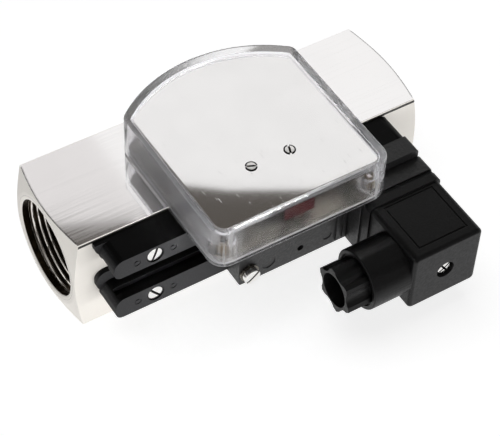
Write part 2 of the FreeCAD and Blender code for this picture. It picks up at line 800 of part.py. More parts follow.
def make_switch_housing():
    """A bar in front of the rails with a ribbed tongue that runs in their guide slots."""
    body = new_body("switch_housing")
    bar = new_sketch(body, "XZ_Plane", HOUSING_BACK)
    rectangle(bar, HOUSING_LEFT, HOUSING_LOW, HOUSING_RIGHT, RAIL_TOP)
    pad(body, bar, "housing_depth")
    fillet(body, "housing_round", lambda edge: along(edge, Y_AXIS))
    tongue = new_sketch(body, "XZ_Plane", TONGUE_BACK)
    tongue_right = f"{HOUSING_LEFT} + tongue_length"
    tongue_low = f"{LOWER_TOP} + slide_gap"
    tongue_high = f"{UPPER_LOW} - slide_gap"
    rectangle(tongue, HOUSING_LEFT, tongue_low, tongue_right, tongue_high)
    pad(body, tongue, f"{HOUSING_BACK} - {TONGUE_BACK} + housing_depth/2")
    runners = new_sketch(body, "YZ_Plane", HOUSING_LEFT)
    runner_low = f"{LOWER_TOP} - slot_depth + slide_gap"
    runner_high = f"{UPPER_LOW} + slot_depth - slide_gap"
    runner_front = f"-({SLOT_FRONT} - slide_gap)"
    runner_back = f"-({SLOT_BACK} + slide_gap)"
    rectangle(runners, runner_front, runner_low, runner_back, runner_high)
    pad(body, runners, "tongue_length")
    ribs = new_sketch(body, "XZ_Plane", HOUSING_FRONT)
    rib_low = f"{HOUSING_LOW} + housing_round"
    rib_high = f"{RAIL_TOP} - housing_round"
    for left in (f"{HOUSING_RIGHT} - rib_position", f"{HOUSING_RIGHT} - rib_position + rib_pitch"):
        rectangle(ribs, left, rib_low, f"{left} + rib_width", rib_high)
    pad(body, ribs, "rib_proud")
    screw_hole = new_sketch(body, "XZ_Plane", HOUSING_FRONT)
    circle(screw_hole, CLAMP_X, LOWER_MIDDLE, "clamp_shank_radius + running_fit")
    pocket(body, screw_hole, "housing_depth")
    reed_bore = new_sketch(body, "YZ_Plane", HOUSING_LEFT)
    circle(reed_bore, f"-{REED_Y}", GAP_MIDDLE, "reed_radius + hole_clearance")
    pocket(body, reed_bore, "reed_position + reed_length/2 + reed_lead_length + reed_radius", reverse=True)
    hole = new_sketch(body, "XZ_Plane", HOUSING_FRONT)
    circle(hole, f"{HOUSING_LEFT} + mark_hole_position", LOWER_MIDDLE, "mark_hole_radius")
    pocket(body, hole, "mark_hole_depth")
    marks = new_sketch(body, "XZ_Plane", HOUSING_FRONT)
    circle(marks, f"{HOUSING_LEFT} + mark_disc_position", LOWER_MIDDLE, "mark_disc_radius")
    circle(marks, f"{HOUSING_LEFT} + mark_small_position", LOWER_MIDDLE, "mark_small_radius")
    pocket(body, marks, "pin_mark_depth")
    return keep(body)


def make_reed_switch():
    """A glass capsule with a lead at each end."""
    body = new_body("reed_switch")
    section = new_sketch(body, "XZ_Plane")
    half = "reed_length/2"
    tip = f"({half} + reed_lead_length)"
    polygon(section, [
        (f"-{tip}", "0"), (f"-{tip}", "reed_lead_radius"), (f"-{half}", "reed_lead_radius"),
        (f"-{half} + reed_radius/2", "reed_radius"), (f"{half} - reed_radius/2", "reed_radius"),
        (half, "reed_lead_radius"), (tip, "reed_lead_radius"), (tip, "0"),
    ])
    revolve(body, section, "H_Axis")
    move(body, f"{HOUSING_LEFT} + reed_position", f"-{REED_Y}", GAP_MIDDLE)
    return keep(body)


def make_clamp_screw():
    length = "housing_depth + clamp_washer_thickness + slide_gap/2"
    screw = slotted_screw(
        "clamp_screw", "clamp_head_radius", "clamp_head_height", "clamp_shank_radius", length)
    turn = FACING_FRONT * FreeCAD.Rotation(Z_AXIS, CLAMP_SCREW_STOP)
    move(screw, CLAMP_X, f"-({HOUSING_FRONT} + clamp_washer_thickness)", LOWER_MIDDLE, turn)
    return keep(screw)


def make_clamp_washer():
    body = new_body("clamp_washer")
    outline = new_sketch(body, "XZ_Plane", HOUSING_FRONT)
    circle(outline, CLAMP_X, LOWER_MIDDLE, "clamp_washer_radius")
    circle(outline, CLAMP_X, LOWER_MIDDLE, "clamp_shank_radius + hole_clearance")
    pad(body, outline, "clamp_washer_thickness")
    return keep(body)


def blade_outlines(sketch, gap="0"):
    """Four contact blades about the connector's axis, each square to the radius."""
    long_side = f"(blade_width + 2*{gap})"
    short_side = f"(blade_thickness + 2*{gap})"
    for side in ("-", "+"):
        centred_rectangle(sketch, f"{SOCKET_X} {side} blade_circle", SOCKET_Z, short_side, long_side)
        centred_rectangle(sketch, SOCKET_X, f"{SOCKET_Z} {side} blade_circle", long_side, short_side)


def make_socket_base():
    """Connector base with seats for the blades and a thread for the plug's screw."""
    body = new_body("socket_base")
    outline = new_sketch(body, "XZ_Plane", HOUSING_FRONT)
    centred_rectangle(outline, SOCKET_X, SOCKET_Z, "socket_width", "socket_height")
    pad(body, outline, "socket_depth")
    fillet(body, "socket_round", lambda edge: along(edge, Y_AXIS))
    seats = new_sketch(body, "XZ_Plane", SOCKET_FRONT)
    blade_outlines(seats, "slip_fit")
    pocket(body, seats, "blade_sink")
    thread = new_sketch(body, "XZ_Plane", SOCKET_FRONT)
    circle(thread, SOCKET_X, SOCKET_Z, "plug_screw_radius + running_fit")
    pocket(body, thread, "plug_screw_engagement + hole_clearance")
    return keep(body)


def make_contact_blades():
    blades = []
    places = [(-1, 0), (1, 0), (0, -1), (0, 1)]
    for number, (across, up) in enumerate(places, start=1):
        body = new_body(f"contact_blade_{number}")
        outline = new_sketch(body, "XZ_Plane", f"{SOCKET_FRONT} - blade_sink")
        sides = ("blade_thickness", "blade_width") if across else ("blade_width", "blade_thickness")
        centred_rectangle(
            outline, f"{SOCKET_X} + {across}*blade_circle", f"{SOCKET_Z} + {up}*blade_circle", *sides)
        pad(body, outline, "blade_sink + gasket_thickness + blade_reach")
        blades.append(body)
    return group("contact_blades", blades)


def make_gasket():
    body = new_body("flat_gasket")
    outline = new_sketch(body, "XZ_Plane", SOCKET_FRONT)
    centred_rectangle(outline, SOCKET_X, SOCKET_Z, "plug_width", "plug_height")
    centred_rectangle(
        outline, SOCKET_X, SOCKET_Z, "(plug_width - 2*gasket_wall)", "(plug_height - 2*gasket_wall)")
    pad(body, outline, "gasket_thickness")
    return keep(body)


def make_plug_housing():
    """Angled plug: flange, box, gland barrel, cavity for the terminals and a screw recess."""
    body = new_body("plug_housing")
    flange = new_sketch(body, "XZ_Plane", GASKET_FRONT)
    centred_rectangle(
        flange, SOCKET_X, SOCKET_Z, "(plug_width + 2*flange_proud)", "(plug_height + 2*flange_proud)")
    pad(body, flange, "flange_depth")
    box = new_sketch(body, "XZ_Plane", GASKET_FRONT)
    centred_rectangle(box, SOCKET_X, SOCKET_Z, "plug_width", "plug_height")
    pad(body, box, "flange_depth + plug_depth")
    fillet(body, "plug_round", lambda edge: along(edge, Y_AXIS))
    fillet(body, "plug_front_round", lambda edge: at_level(edge, "Y", f"-{PLUG_FRONT}"))
    barrel = new_sketch(body, "YZ_Plane", SOCKET_X)
    circle(barrel, f"-{GLAND_Y}", SOCKET_Z, "barrel_radius")
    pad(body, barrel, f"{SOCKET_X} - {GLAND_FACE}", reverse=True)
    fillet(body, "barrel_round", lambda edge: at_level(edge, "X", GLAND_FACE))
    cavity = new_sketch(body, "XZ_Plane", GASKET_FRONT)
    centred_rectangle(
        cavity, SOCKET_X, SOCKET_Z, "(plug_width - 2*plug_wall)", "(plug_height - 2*plug_wall)")
    pocket(body, cavity, "flange_depth + plug_depth - plug_recess_depth - plug_wall", reverse=True)
    entry = new_sketch(body, "YZ_Plane", GLAND_FACE)
    circle(entry, f"-{GLAND_Y}", SOCKET_Z, "barrel_bore_radius")
    pocket(body, entry, "barrel_bore_depth", reverse=True)
    rebate = new_sketch(body, "YZ_Plane", GLAND_FACE)
    circle(rebate, f"-{GLAND_Y}", SOCKET_Z, f"{NUT_CORNER} + gland_nut_gap")
    pocket(body, rebate, "barrel_rebate_depth", reverse=True)
    passage = new_sketch(body, "YZ_Plane", GLAND_FACE)
    circle(passage, f"-{GLAND_Y}", SOCKET_Z, "cable_radius + hole_clearance")
    pocket(body, passage, "barrel_length + 2*plug_wall", reverse=True)
    recess = new_sketch(body, "XZ_Plane", PLUG_FRONT)
    circle(recess, SOCKET_X, SOCKET_Z, "plug_recess_radius")
    pocket(body, recess, "plug_recess_depth")
    screw_hole = new_sketch(body, "XZ_Plane", PLUG_FRONT)
    circle(screw_hole, SOCKET_X, SOCKET_Z, "plug_screw_radius + hole_clearance")
    pocket(body, screw_hole, "plug_recess_depth + 2*plug_wall")
    # A plain sunk line frames the bare panel on top
    panel = new_sketch(body, "XY_Plane", f"{SOCKET_Z} + plug_height/2")
    for inset in ("0", "panel_line"):
        half = f"(plug_width/2 - panel_inset - {inset})"
        rectangle(panel, f"{SOCKET_X} - {half}", f"-({PLUG_FRONT} - panel_front_inset - {inset})",
                  f"{SOCKET_X} + {half}", f"-({FLANGE_FRONT} + panel_back_inset + {inset})")
    pocket(body, panel, "panel_line_depth")
    return keep(body)


def make_terminal_block():
    """The plug's insert, slotted for the blades and bored for the long screw."""
    body = new_body("terminal_block")
    outline = new_sketch(body, "XZ_Plane", GASKET_FRONT)
    inset = "(plug_wall + slip_fit)"
    centred_rectangle(
        outline, SOCKET_X, SOCKET_Z, f"(plug_width - 2*{inset})", f"(plug_height - 2*{inset})")
    pad(body, outline, "terminal_depth")
    seats = new_sketch(body, "XZ_Plane", GASKET_FRONT)
    blade_outlines(seats, "slip_fit")
    pocket(body, seats, "blade_reach + hole_clearance", reverse=True)
    hole = new_sketch(body, "XZ_Plane", GASKET_FRONT)
    circle(hole, SOCKET_X, SOCKET_Z, "plug_screw_radius + hole_clearance")
    pocket(body, hole, "terminal_depth", reverse=True)
    return keep(body)


def make_plug_screw():
    seat = f"({PLUG_FRONT} - plug_recess_depth)"
    length = f"{seat} - {SOCKET_FRONT} + plug_screw_engagement"
    screw = slotted_screw(
        "plug_screw", "plug_screw_head_radius", "plug_screw_head_height", "plug_screw_radius", length,
        cross=True)
    turn = FACING_FRONT * FreeCAD.Rotation(Z_AXIS, PLUG_SCREW_STOP)
    move(screw, SOCKET_X, f"-{seat}", SOCKET_Z, turn)
    return keep(screw)


def make_gland_nut():
    """Hexagonal gland nut with scalloped flats, a flared mouth and a spigot in the barrel."""
    body = new_body("gland_nut")
    back_x = f"({GLAND_FACE} + barrel_rebate_depth - gland_nut_gap)"
    mouth_x = f"({back_x} - gland_nut_length)"
    head = new_sketch(body, "YZ_Plane", mouth_x)
    hexagon(head, "gland_nut_across_flats")
    pad(body, head, "gland_nut_length")
    scallop = new_sketch(body, "YZ_Plane", mouth_x)
    scallop_middle = "gland_nut_across_flats/2 + gland_scallop_radius - gland_scallop_depth"
    circle(scallop, "0", scallop_middle, "gland_scallop_radius")
    cut = pocket(body, scallop, "gland_nut_length", reverse=True)
    repeat_round(body, cut, scallop, HEXAGON_SIDES)
    inner_x = f"({GLAND_FACE} + gland_spigot_length)"
    spigot = new_sketch(body, "YZ_Plane", f"{back_x} - gland_nut_gap")
    circle(spigot, "0", "0", "barrel_bore_radius - running_fit")
    pad(body, spigot, f"{inner_x} - {back_x} + gland_nut_gap")
    mouth = new_sketch(body, "XZ_Plane")
    throat = "(cable_radius + 2*hole_clearance)"
    flare_end = f"{mouth_x} + gland_nut_length/2"
    polygon(mouth, [
        (mouth_x, "0"), (mouth_x, "gland_nut_mouth_radius"), (flare_end, "gland_nut_mouth_radius"),
        (GLAND_FACE, throat), (inner_x, throat), (inner_x, "0"),
    ])
    groove(body, mouth, "H_Axis")
    move(body, "0", f"-{GLAND_Y}", SOCKET_Z, FreeCAD.Rotation(X_AXIS, GLAND_NUT_STOP))
    return keep(body)


def make_gland_washer():
    start = f"{GLAND_FACE} + gland_spigot_length + slip_fit"
    body = ring(
        "gland_washer", start, f"{start} + gland_washer_thickness",
        "cable_radius + hole_clearance", "barrel_bore_radius - slip_fit")
    move(body, "0", f"-{GLAND_Y}", SOCKET_Z)
    return keep(body)


def make_gland_seal():
    start = f"{GLAND_FACE} + gland_spigot_length + slip_fit + gland_washer_thickness"
    body = ring(
        "gland_seal", start, f"{GLAND_FACE} + barrel_bore_depth",
        "cable_radius", "barrel_bore_radius - slip_fit")
    move(body, "0", f"-{GLAND_Y}", SOCKET_Z)
    return keep(body)


def boss_places():
    return [(f"{MIDDLE} {side} {BOSS_SPREAD}", f"-{BOSS_Y}") for side in ("-", "+")]


def pillar_places():
    return [(f"{MIDDLE} {side} pillar_spread", f"-{PIVOT_Y}") for side in ("-", "+")]


def round_dial_corners(body, inset):
    """Round the upright edges of a dial outline, in front and where the arc starts."""
    def in_front(edge):
        return along(edge, Z_AXIS) and edge.CenterOfMass.y < -value(PIVOT_Y)

    def behind(edge):
        return along(edge, Z_AXIS) and edge.CenterOfMass.y > -value(PIVOT_Y)
    fillet(body, f"dial_front_corner - {inset}", in_front)
    fillet(body, f"dial_back_corner - {inset}/2", behind)


def make_dial_base():
    """The plate that closes the cover from below and carries the pivot and the pillars."""
    body = new_body("dial_base")
    outline = new_sketch(body, "XY_Plane", TOP)
    dial_outline(outline, BASE_INSET)
    pad(body, outline, "base_thickness")
    round_dial_corners(body, BASE_INSET)
    holes = new_sketch(body, "XY_Plane", BASE_TOP)
    for x, y in base_screw_places():
        circle(holes, x, y, "base_screw_radius + hole_clearance")
    for x, y in boss_places():
        circle(holes, x, y, "cover_screw_radius + hole_clearance")
    circle(holes, MIDDLE, f"-{PIVOT_Y}", "pivot_radius + slip_fit")
    pocket(body, holes, "base_thickness")
    heads = new_sketch(body, "XY_Plane", TOP)
    for x, y in boss_places():
        circle(heads, x, y, "cover_screw_head_radius + hole_clearance")
    pocket(body, heads, "cover_screw_head_height + slip_fit", reverse=True)
    return keep(body)


def make_base_screws():
    screws = []
    for number, (x, y) in enumerate(base_screw_places(), start=1):
        screw = slotted_screw(
            f"base_screw_{number}", "base_screw_head_radius", "base_screw_head_height", "base_screw_radius",
            f"base_thickness + {TAP_DEPTH} - 2*slip_fit")
        move(screw, x, y, BASE_TOP, FreeCAD.Rotation(Z_AXIS, BASE_SCREW_STOPS[number - 1]))
        screws.append(screw)
    return group("base_screws", screws)


def make_dial_cover():
    """Clear cap: one outline hollowed from below, with a boss in each front corner."""
    body = new_body("dial_cover")
    outline = new_sketch(body, "XY_Plane", TOP)
    dial_outline(outline, "0")
    pad(body, outline, "cover_height")
    round_dial_corners(body, "0")
    fillet(body, "cover_top_round", lambda edge: at_level(edge, "Z", f"{TOP} + cover_height"))
    hollow = new_sketch(body, "XY_Plane", TOP)
    dial_outline(hollow, "cover_wall")
    pocket(body, hollow, "cover_height - cover_top", reverse=True)
    inner_half = value("dial_half_width - cover_wall")

    def inner_front(edge):
        inside = abs(abs(edge.CenterOfMass.x - value(MIDDLE)) - inner_half) < TOLERANCE
        return along(edge, Z_AXIS) and inside and edge.CenterOfMass.y < -value(PIVOT_Y)
    fillet(body, "dial_front_corner - cover_wall", inner_front)
    bosses = new_sketch(body, "XY_Plane", f"{BASE_TOP} + slip_fit")
    for x, y in boss_places():
        circle(bosses, x, y, "boss_inset - cover_wall + boss_overlap")
    pad(body, bosses, "insert_length + boss_cap")
    sockets = new_sketch(body, "XY_Plane", f"{BASE_TOP} + slip_fit")
    for x, y in boss_places():
        circle(sockets, x, y, "insert_radius")
    pocket(body, sockets, "insert_length", reverse=True)
    return keep(body)


def make_cover_inserts():
    """Threaded bushes moulded into the cover's bosses."""
    inserts = []
    for number, (x, y) in enumerate(boss_places(), start=1):
        body = new_body(f"cover_insert_{number}")
        outline = new_sketch(body, "XY_Plane", f"{BASE_TOP} + slip_fit")
        circle(outline, x, y, "insert_radius - slip_fit/2")
        circle(outline, x, y, "cover_screw_radius + slip_fit")
        pad(body, outline, "insert_length - slip_fit")
        inserts.append(body)
    return group("cover_inserts", inserts)


def make_cover_screws():
    screws = []
    for number, (x, y) in enumerate(boss_places(), start=1):
        screw = slotted_screw(
            f"cover_screw_{number}", "cover_screw_head_radius", "cover_screw_head_height",
            "cover_screw_radius", "base_thickness - cover_screw_head_height + cover_screw_reach")
        move(screw, x, y, f"{TOP} + cover_screw_head_height", FACING_DOWN)
        screws.append(screw)
    return group("cover_screws", screws)


def make_plate_pillars():
    pillars = []
    for number, (x, y) in enumerate(pillar_places(), start=1):
        body = new_body(f"plate_pillar_{number}")
        outline = new_sketch(body, "XY_Plane", BASE_TOP)
        circle(outline, x, y, "pillar_radius")
        pad(body, outline, f"{PLATE_LOW} - {BASE_TOP}")
        thread = new_sketch(body, "XY_Plane", PLATE_LOW)
        circle(thread, x, y, "dial_screw_radius + slip_fit")
        pocket(body, thread, "dial_screw_length")
        pillars.append(body)
    return group("plate_pillars", pillars)


def make_dial_plate():
    body = new_body("dial_plate")
    outline = new_sketch(body, "XY_Plane", PLATE_LOW)
    dial_outline(outline, "plate_inset")
    pad(body, outline, "plate_thickness")
    round_dial_corners(body, "plate_inset")
    holes = new_sketch(body, "XY_Plane", PLATE_TOP)
    for x, y in pillar_places():
        circle(holes, x, y, "dial_screw_radius + hole_clearance")
    pocket(body, holes, "plate_thickness")
    return keep(body)


def make_dial_screws():
    screws = []
    for number, (x, y) in enumerate(pillar_places(), start=1):
        screw = slotted_screw(
            f"dial_screw_{number}", "dial_screw_head_radius", "dial_screw_head_height", "dial_screw_radius",
            "plate_thickness + dial_screw_length - slip_fit")
        move(screw, x, y, PLATE_TOP, FreeCAD.Rotation(Z_AXIS, DIAL_SCREW_STOPS[number - 1]))
        screws.append(screw)
    return group("dial_screws", screws)


def make_pivot_pin():
    """A pin pressed into the base, with a collar under the follower's hub."""
    body = new_body("pivot_pin")
    section = new_sketch(body, "XZ_Plane")
    collar_top = f"{FOLLOWER_LOW} - follower_end_play"
    tip = f"{HUB_TOP} + follower_end_play + clip_thickness + pin_end"
    polygon(section, [
        ("0", TOP), ("pivot_radius", TOP), ("pivot_radius", BASE_TOP),
        ("pivot_collar_radius", BASE_TOP), ("pivot_collar_radius", collar_top), ("pivot_radius", collar_top),
        ("pivot_radius", tip), ("0", tip),
    ])
    revolve(body, section, "V_Axis")
    move(body, MIDDLE, f"-{PIVOT_Y}", "0")
    return keep(body)


def make_pivot_clip():
    body = new_body("pivot_clip")
    outline = new_sketch(body, "XY_Plane", f"{HUB_TOP} + follower_end_play")
    circle(outline, MIDDLE, f"-{PIVOT_Y}", "clip_radius")
    circle(outline, MIDDLE, f"-{PIVOT_Y}", "pivot_radius + slip_fit/2")
    pad(body, outline, "clip_thickness")
    return keep(body)


def make_follower_arm():
    """A hub with an arm back over the tube axis, a magnet cup at its end and a short tail in front."""
    body = new_body("follower_arm")
    cup_radius = "(follower_magnet_radius + slip_fit + magnet_cup_wall)"
    bar = new_sketch(body, "XY_Plane", FOLLOWER_LOW)
    rectangle(bar, "-arm_width/2", f"-{TAIL_REACH}", "arm_width/2", PIVOT_Y)
    pad(body, bar, "arm_thickness")
    cup = new_sketch(body, "XY_Plane", FOLLOWER_LOW)
    circle(cup, "0", PIVOT_Y, cup_radius)
    pad(body, cup, "follower_magnet_height + slip_fit")
    hub = new_sketch(body, "XY_Plane", FOLLOWER_LOW)
    circle(hub, "0", "0", "hub_radius")
    pad(body, hub, f"{HUB_TOP} - {FOLLOWER_LOW}")
    bearing = new_sketch(body, "XY_Plane", HUB_TOP)
    circle(bearing, "0", "0", "pivot_radius + running_fit")
    pocket(body, bearing, f"{HUB_TOP} - {FOLLOWER_LOW}")
    seat = new_sketch(body, "XY_Plane", FOLLOWER_LOW)
    circle(seat, "0", PIVOT_Y, "follower_magnet_radius + slip_fit")
    pocket(body, seat, "follower_magnet_height + slip_fit", reverse=True)
    move(body, MIDDLE, f"-{PIVOT_Y}", "0")
    return keep(body)


def make_follower_magnet():
    body = new_body("follower_magnet")
    outline = new_sketch(body, "XY_Plane", FOLLOWER_LOW)
    circle(outline, MIDDLE, "0", "follower_magnet_radius")
    pad(body, outline, "follower_magnet_height")
    return keep(body)


def make_pointer_flag():
    """The red flag that shows through the front of the cover, on a foot on the arm's tail."""
    body = new_body("pointer_flag")
    tail_end = f"({PIVOT_Y} + {TAIL_REACH})"
    low = f"({FOLLOWER_LOW} + arm_thickness)"
    high = f"({PLATE_LOW} - flag_headroom)"
    foot = new_sketch(body, "XY_Plane", low)
    centred_rectangle(foot, MIDDLE, f"-({tail_end} - flag_foot/2)", "arm_width", "flag_foot")
    pad(body, foot, "flag_thickness")
    sheet_front = new_sketch(body, "XZ_Plane", f"{tail_end} - flag_thickness")
    rectangle(sheet_front, f"{MIDDLE} - flag_width/2", low, f"{MIDDLE} + flag_width/2", high)
    pad(body, sheet_front, "flag_thickness")
    return keep(body)


make_flow_body()
make_spider("inlet_spider", BORE_SEAT)
make_taper_sleeve()
make_spider("outlet_spider", SLEEVE_END)
make_retaining_ring()
make_guide_rod()
make_rod_nuts()
make_float()
keep(ring("float_magnet", f"{MIDDLE} - magnet_length/2", f"{MIDDLE} + magnet_length/2",
          "magnet_inner_radius", "magnet_outer_radius"))
keep(ring("magnet_cap", f"{MIDDLE} + magnet_length/2", FLOAT_END,
          "magnet_inner_radius", "magnet_outer_radius"))
make_return_spring()
make_rail("upper_rail", UPPER_LOW, RAIL_TOP, f"{RAIL_TOP} - upper_lip_drop", RAIL_TOP,
          "rail_start + rail_end_radius", UPPER_LOW, "+", relieved=True)
make_rail("lower_rail", LOWER_LOW, LOWER_TOP, f"{LOWER_TOP} - lip_drop", f"{LOWER_TOP} + lip_height",
          RAIL_END, LOWER_TOP, "-")
make_rail_screws()
make_switch_housing()
make_reed_switch()
make_clamp_screw()
make_clamp_washer()
make_socket_base()
make_contact_blades()
make_gasket()
make_plug_housing()
make_terminal_block()
make_plug_screw()
make_gland_nut()
make_gland_washer()
make_gland_seal()
make_dial_base()
make_base_screws()
make_dial_cover()
make_cover_inserts()
make_cover_screws()
make_plate_pillars()
make_dial_plate()
make_dial_screws()
make_pivot_pin()
make_pivot_clip()
make_follower_arm()
make_follower_magnet()
make_pointer_flag()

doc.recompute()
for item in doc.Objects:
    if "Invalid" in item.State or "Error" in item.State:
        raise RuntimeError(f"{item.Name} failed to build")
for piece in pieces:
    if piece.Shape.isNull() or not piece.Shape.isValid():
        raise RuntimeError(f"{piece.Label} has no valid shape")

os.makedirs("parts", exist_ok=True)
for piece in pieces:
    piece.Shape.exportStep(f"parts/{piece.Label}.step")
    print(f"{piece.Label}: {len(piece.Shape.Solids)} solids, {piece.Shape.Volume:.1f} mm3")
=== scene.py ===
"""Looks of the flow meter: finishes, port threads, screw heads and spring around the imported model."""
import json
import math

import bmesh
import bpy
from mathutils import Euler, Matrix, Vector


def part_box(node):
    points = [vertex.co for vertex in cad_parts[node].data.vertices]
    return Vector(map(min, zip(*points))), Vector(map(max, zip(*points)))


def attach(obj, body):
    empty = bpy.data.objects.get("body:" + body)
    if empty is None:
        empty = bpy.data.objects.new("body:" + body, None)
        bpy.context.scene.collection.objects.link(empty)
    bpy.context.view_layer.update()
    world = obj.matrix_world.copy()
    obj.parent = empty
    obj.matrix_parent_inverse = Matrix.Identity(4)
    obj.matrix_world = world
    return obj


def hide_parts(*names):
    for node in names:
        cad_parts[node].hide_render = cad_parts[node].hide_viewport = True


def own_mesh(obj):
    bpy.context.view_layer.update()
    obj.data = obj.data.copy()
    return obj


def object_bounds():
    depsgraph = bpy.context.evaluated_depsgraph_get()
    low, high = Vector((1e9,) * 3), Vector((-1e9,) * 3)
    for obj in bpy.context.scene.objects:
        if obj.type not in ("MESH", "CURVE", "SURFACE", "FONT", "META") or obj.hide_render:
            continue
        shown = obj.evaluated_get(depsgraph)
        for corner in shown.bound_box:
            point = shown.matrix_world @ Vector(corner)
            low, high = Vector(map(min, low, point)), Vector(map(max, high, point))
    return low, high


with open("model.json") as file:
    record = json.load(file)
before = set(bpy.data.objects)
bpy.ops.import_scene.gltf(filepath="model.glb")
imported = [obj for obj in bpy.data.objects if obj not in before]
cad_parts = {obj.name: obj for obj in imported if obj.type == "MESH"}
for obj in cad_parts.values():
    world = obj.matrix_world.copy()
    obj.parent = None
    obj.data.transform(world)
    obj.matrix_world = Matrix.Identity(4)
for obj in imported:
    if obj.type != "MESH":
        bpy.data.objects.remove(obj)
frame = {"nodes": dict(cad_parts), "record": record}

cad_low, cad_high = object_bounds()
MM = 0.001
nodes = frame["nodes"]
node_body = {}
for body, members in frame["record"]["behaviour"]["bodies"].items():
    node_body.update(dict.fromkeys(members, body))

# Camera of the photograph
CAMERA_PLACE = Vector((-0.1693, -0.3879, 0.5070))
CAMERA_TURN = Euler([math.radians(angle) for angle in (40.662, -1.802, -31.771)], "XYZ")
CAMERA_LENS = 126.74
SENSOR_WIDTH = 36

# Clear cover, as in the model, with small rounds at its ceiling and its lower edge
COVER_WALL = 2.5 * MM
COVER_ROOF = 2.2 * MM
COVER_FRONT_CORNER = 7 * MM
COVER_BACK_CORNER = 4 * MM
COVER_TOP_ROUND = 1.8 * MM
COVER_INNER_ROUND = 0.8 * MM
COVER_LIP_ROUND = 1.2 * MM
COVER_LIFT = 0.05 * MM
BOSS_RADIUS = 4.3 * MM
BOSS_ROUND = 0.6 * MM
BOSS_CAP = 1 * MM

# Port thread: pitch, radii of the crests, the roots and the liner's hidden back, and the groove's form
THREAD_PITCH = 2.309 * MM
THREAD_CREST = 19.476 * MM
THREAD_ROOT = 20.75 * MM
THREAD_BACK = 20.94 * MM
THREAD_MOUTH = 3.0 * MM
THREAD_CHAMFER = 0.3 * MM
THREAD_LENGTH = 21.8 * MM
PORT_RADIUS = 20.955 * MM
FLANK_SLOPE = 1.35
ROOT_FLAT = 0.12
LINER_STAND = 0.01 * MM
LINER_OVERLAP = 0.1 * MM

# Screws: radius and height of the head, radius of the shank, the slot, and how far the head is crowned
RAIL_SCREW = dict(head=3.25 * MM, head_height=2.4 * MM, shank=1.75 * MM,
                  slot_width=0.95 * MM, slot_depth=1.0 * MM, crown=0.2 * MM)
DIAL_SCREW = dict(head=2.3 * MM, head_height=0.25 * MM, shank=1.2 * MM,
                  slot_width=0.8 * MM, slot_depth=0.6 * MM, crown=0.02 * MM)
CLAMP_SCREW = dict(head_height=2.4 * MM, shank=1.75 * MM,
                   slot_width=0.9 * MM, slot_depth=1.2 * MM, crown=0.15 * MM)
PLUG_SCREW = dict(head_height=2.2 * MM, shank=1.5 * MM,
                  slot_width=0.8 * MM, slot_depth=1.0 * MM, crown=0.15 * MM)

# Width of the painted shadow ring round a screw's head
SCREW_RING = 0.25 * MM
DIAL_SCREW_RING = 0.5 * MM

# Angles at which the screw slots came to rest, in degrees, as in the model
RAIL_SCREW_STOPS = {"upper_left": 69, "lower_left": -52, "upper_right": 30, "lower_right": 110}
CLAMP_SCREW_STOP = 38
PLUG_SCREW_STOP = 35
DIAL_SCREW_STOPS = {"left": -24, "right": 71}

# Return spring
SPRING_WIRE = 0.6 * MM
SPRING_TURNS = 5

# Rounding of sharp edges, with the least angle that is rounded, in degrees
SCREW_SOFTENING = 0.05 * MM
SCREW_SOFT_ANGLE = 40
PLASTIC_SOFTENING = 0.25 * MM
PLASTIC_SOFT_ANGLE = 35
SOFT_PIECES = ("upper_rail", "lower_rail", "switch_housing", "socket_base", "plug_housing", "gland_nut")

# Turned solids start this near to their axis
AXIS = 0.05 * MM

# Painted dark lines: a painted dark reflection along the tops of the bar's turned ends, a painted shadow
# above the rail on its front, and a painted shadow along the plate's front edges
EDGE_LINE = 1.5 * MM
EDGE_LINE_DEPTH = 0.6 * MM
EDGE_LINE_END = 1 * MM
SHADOW_START_BELOW_RAIL_TOP = 0.4 * MM
SHADOW_END_BELOW_BAR_TOP = 0.35 * MM
PLATE_LINE = 1.2 * MM
EDGE_ROUND = 0.22 * MM

# How near to a face a point counts as part of it, and the widths over which finishes change
SKIN = 0.05 * MM
FINE_FADE = 0.1 * MM
FADE = 0.2 * MM
WIDE_FADE = 1 * MM
PLATE_FADE = 10 * MM

# Colours, linear
NICKEL = (0.90, 0.885, 0.88)
NICKEL_SATIN = (0.90, 0.865, 0.81)
# Near-black painted as shade and dark reflection: inside the port, above the rail, along the plate's front
# edges and along the bar's turned ends
PAINTED_DARK = (0.02, 0.018, 0.016)
# Bronze of the port's inside, darkened as painted shade
BRONZE_IN_PAINTED_SHADE = (0.066, 0.048, 0.030)
SCREW = (0.88, 0.87, 0.85)
# Painted shade in screw slots, and painted shadow round screw heads
SHADED = (0.012, 0.011, 0.01)
WASHER = (0.16, 0.15, 0.13)
STEEL = (0.60, 0.59, 0.58)
BRASS = (0.17, 0.13, 0.08)
MAGNET = (0.055, 0.052, 0.05)
PLATE = (0.89, 0.878, 0.872)
# Underside of the dial plate, darkened as painted shade
PLATE_UNDERSIDE_PAINTED_SHADE = (0.075, 0.065, 0.058)
CLEAR = (0.95, 0.95, 0.97)
CLEAR_TOP = (0.98, 0.98, 0.98, 1)
CLEAR_SHADOW = (0.92, 0.92, 0.94, 1)
BLACK_PLASTIC = (0.014, 0.014, 0.0145)
PLUG_PLASTIC = (0.008, 0.008, 0.0083)
BASE_PLASTIC = (0.07, 0.064, 0.054)
RED_PLASTIC = (0.022, 0.004, 0.004)
RAIL_FACE = (0.06, 0.06, 0.062)
# Rail tops darkened as painted shade
RAIL_TOP_PAINTED_SHADE = (0.006, 0.006, 0.006)
RUBBER = (0.02, 0.02, 0.021)
REED_GLASS = (0.50, 0.58, 0.50)
PAPER = (0.5, 0.5, 0.5)
BLACK = (0, 0, 0)
WHITE = (1, 1, 1, 1)

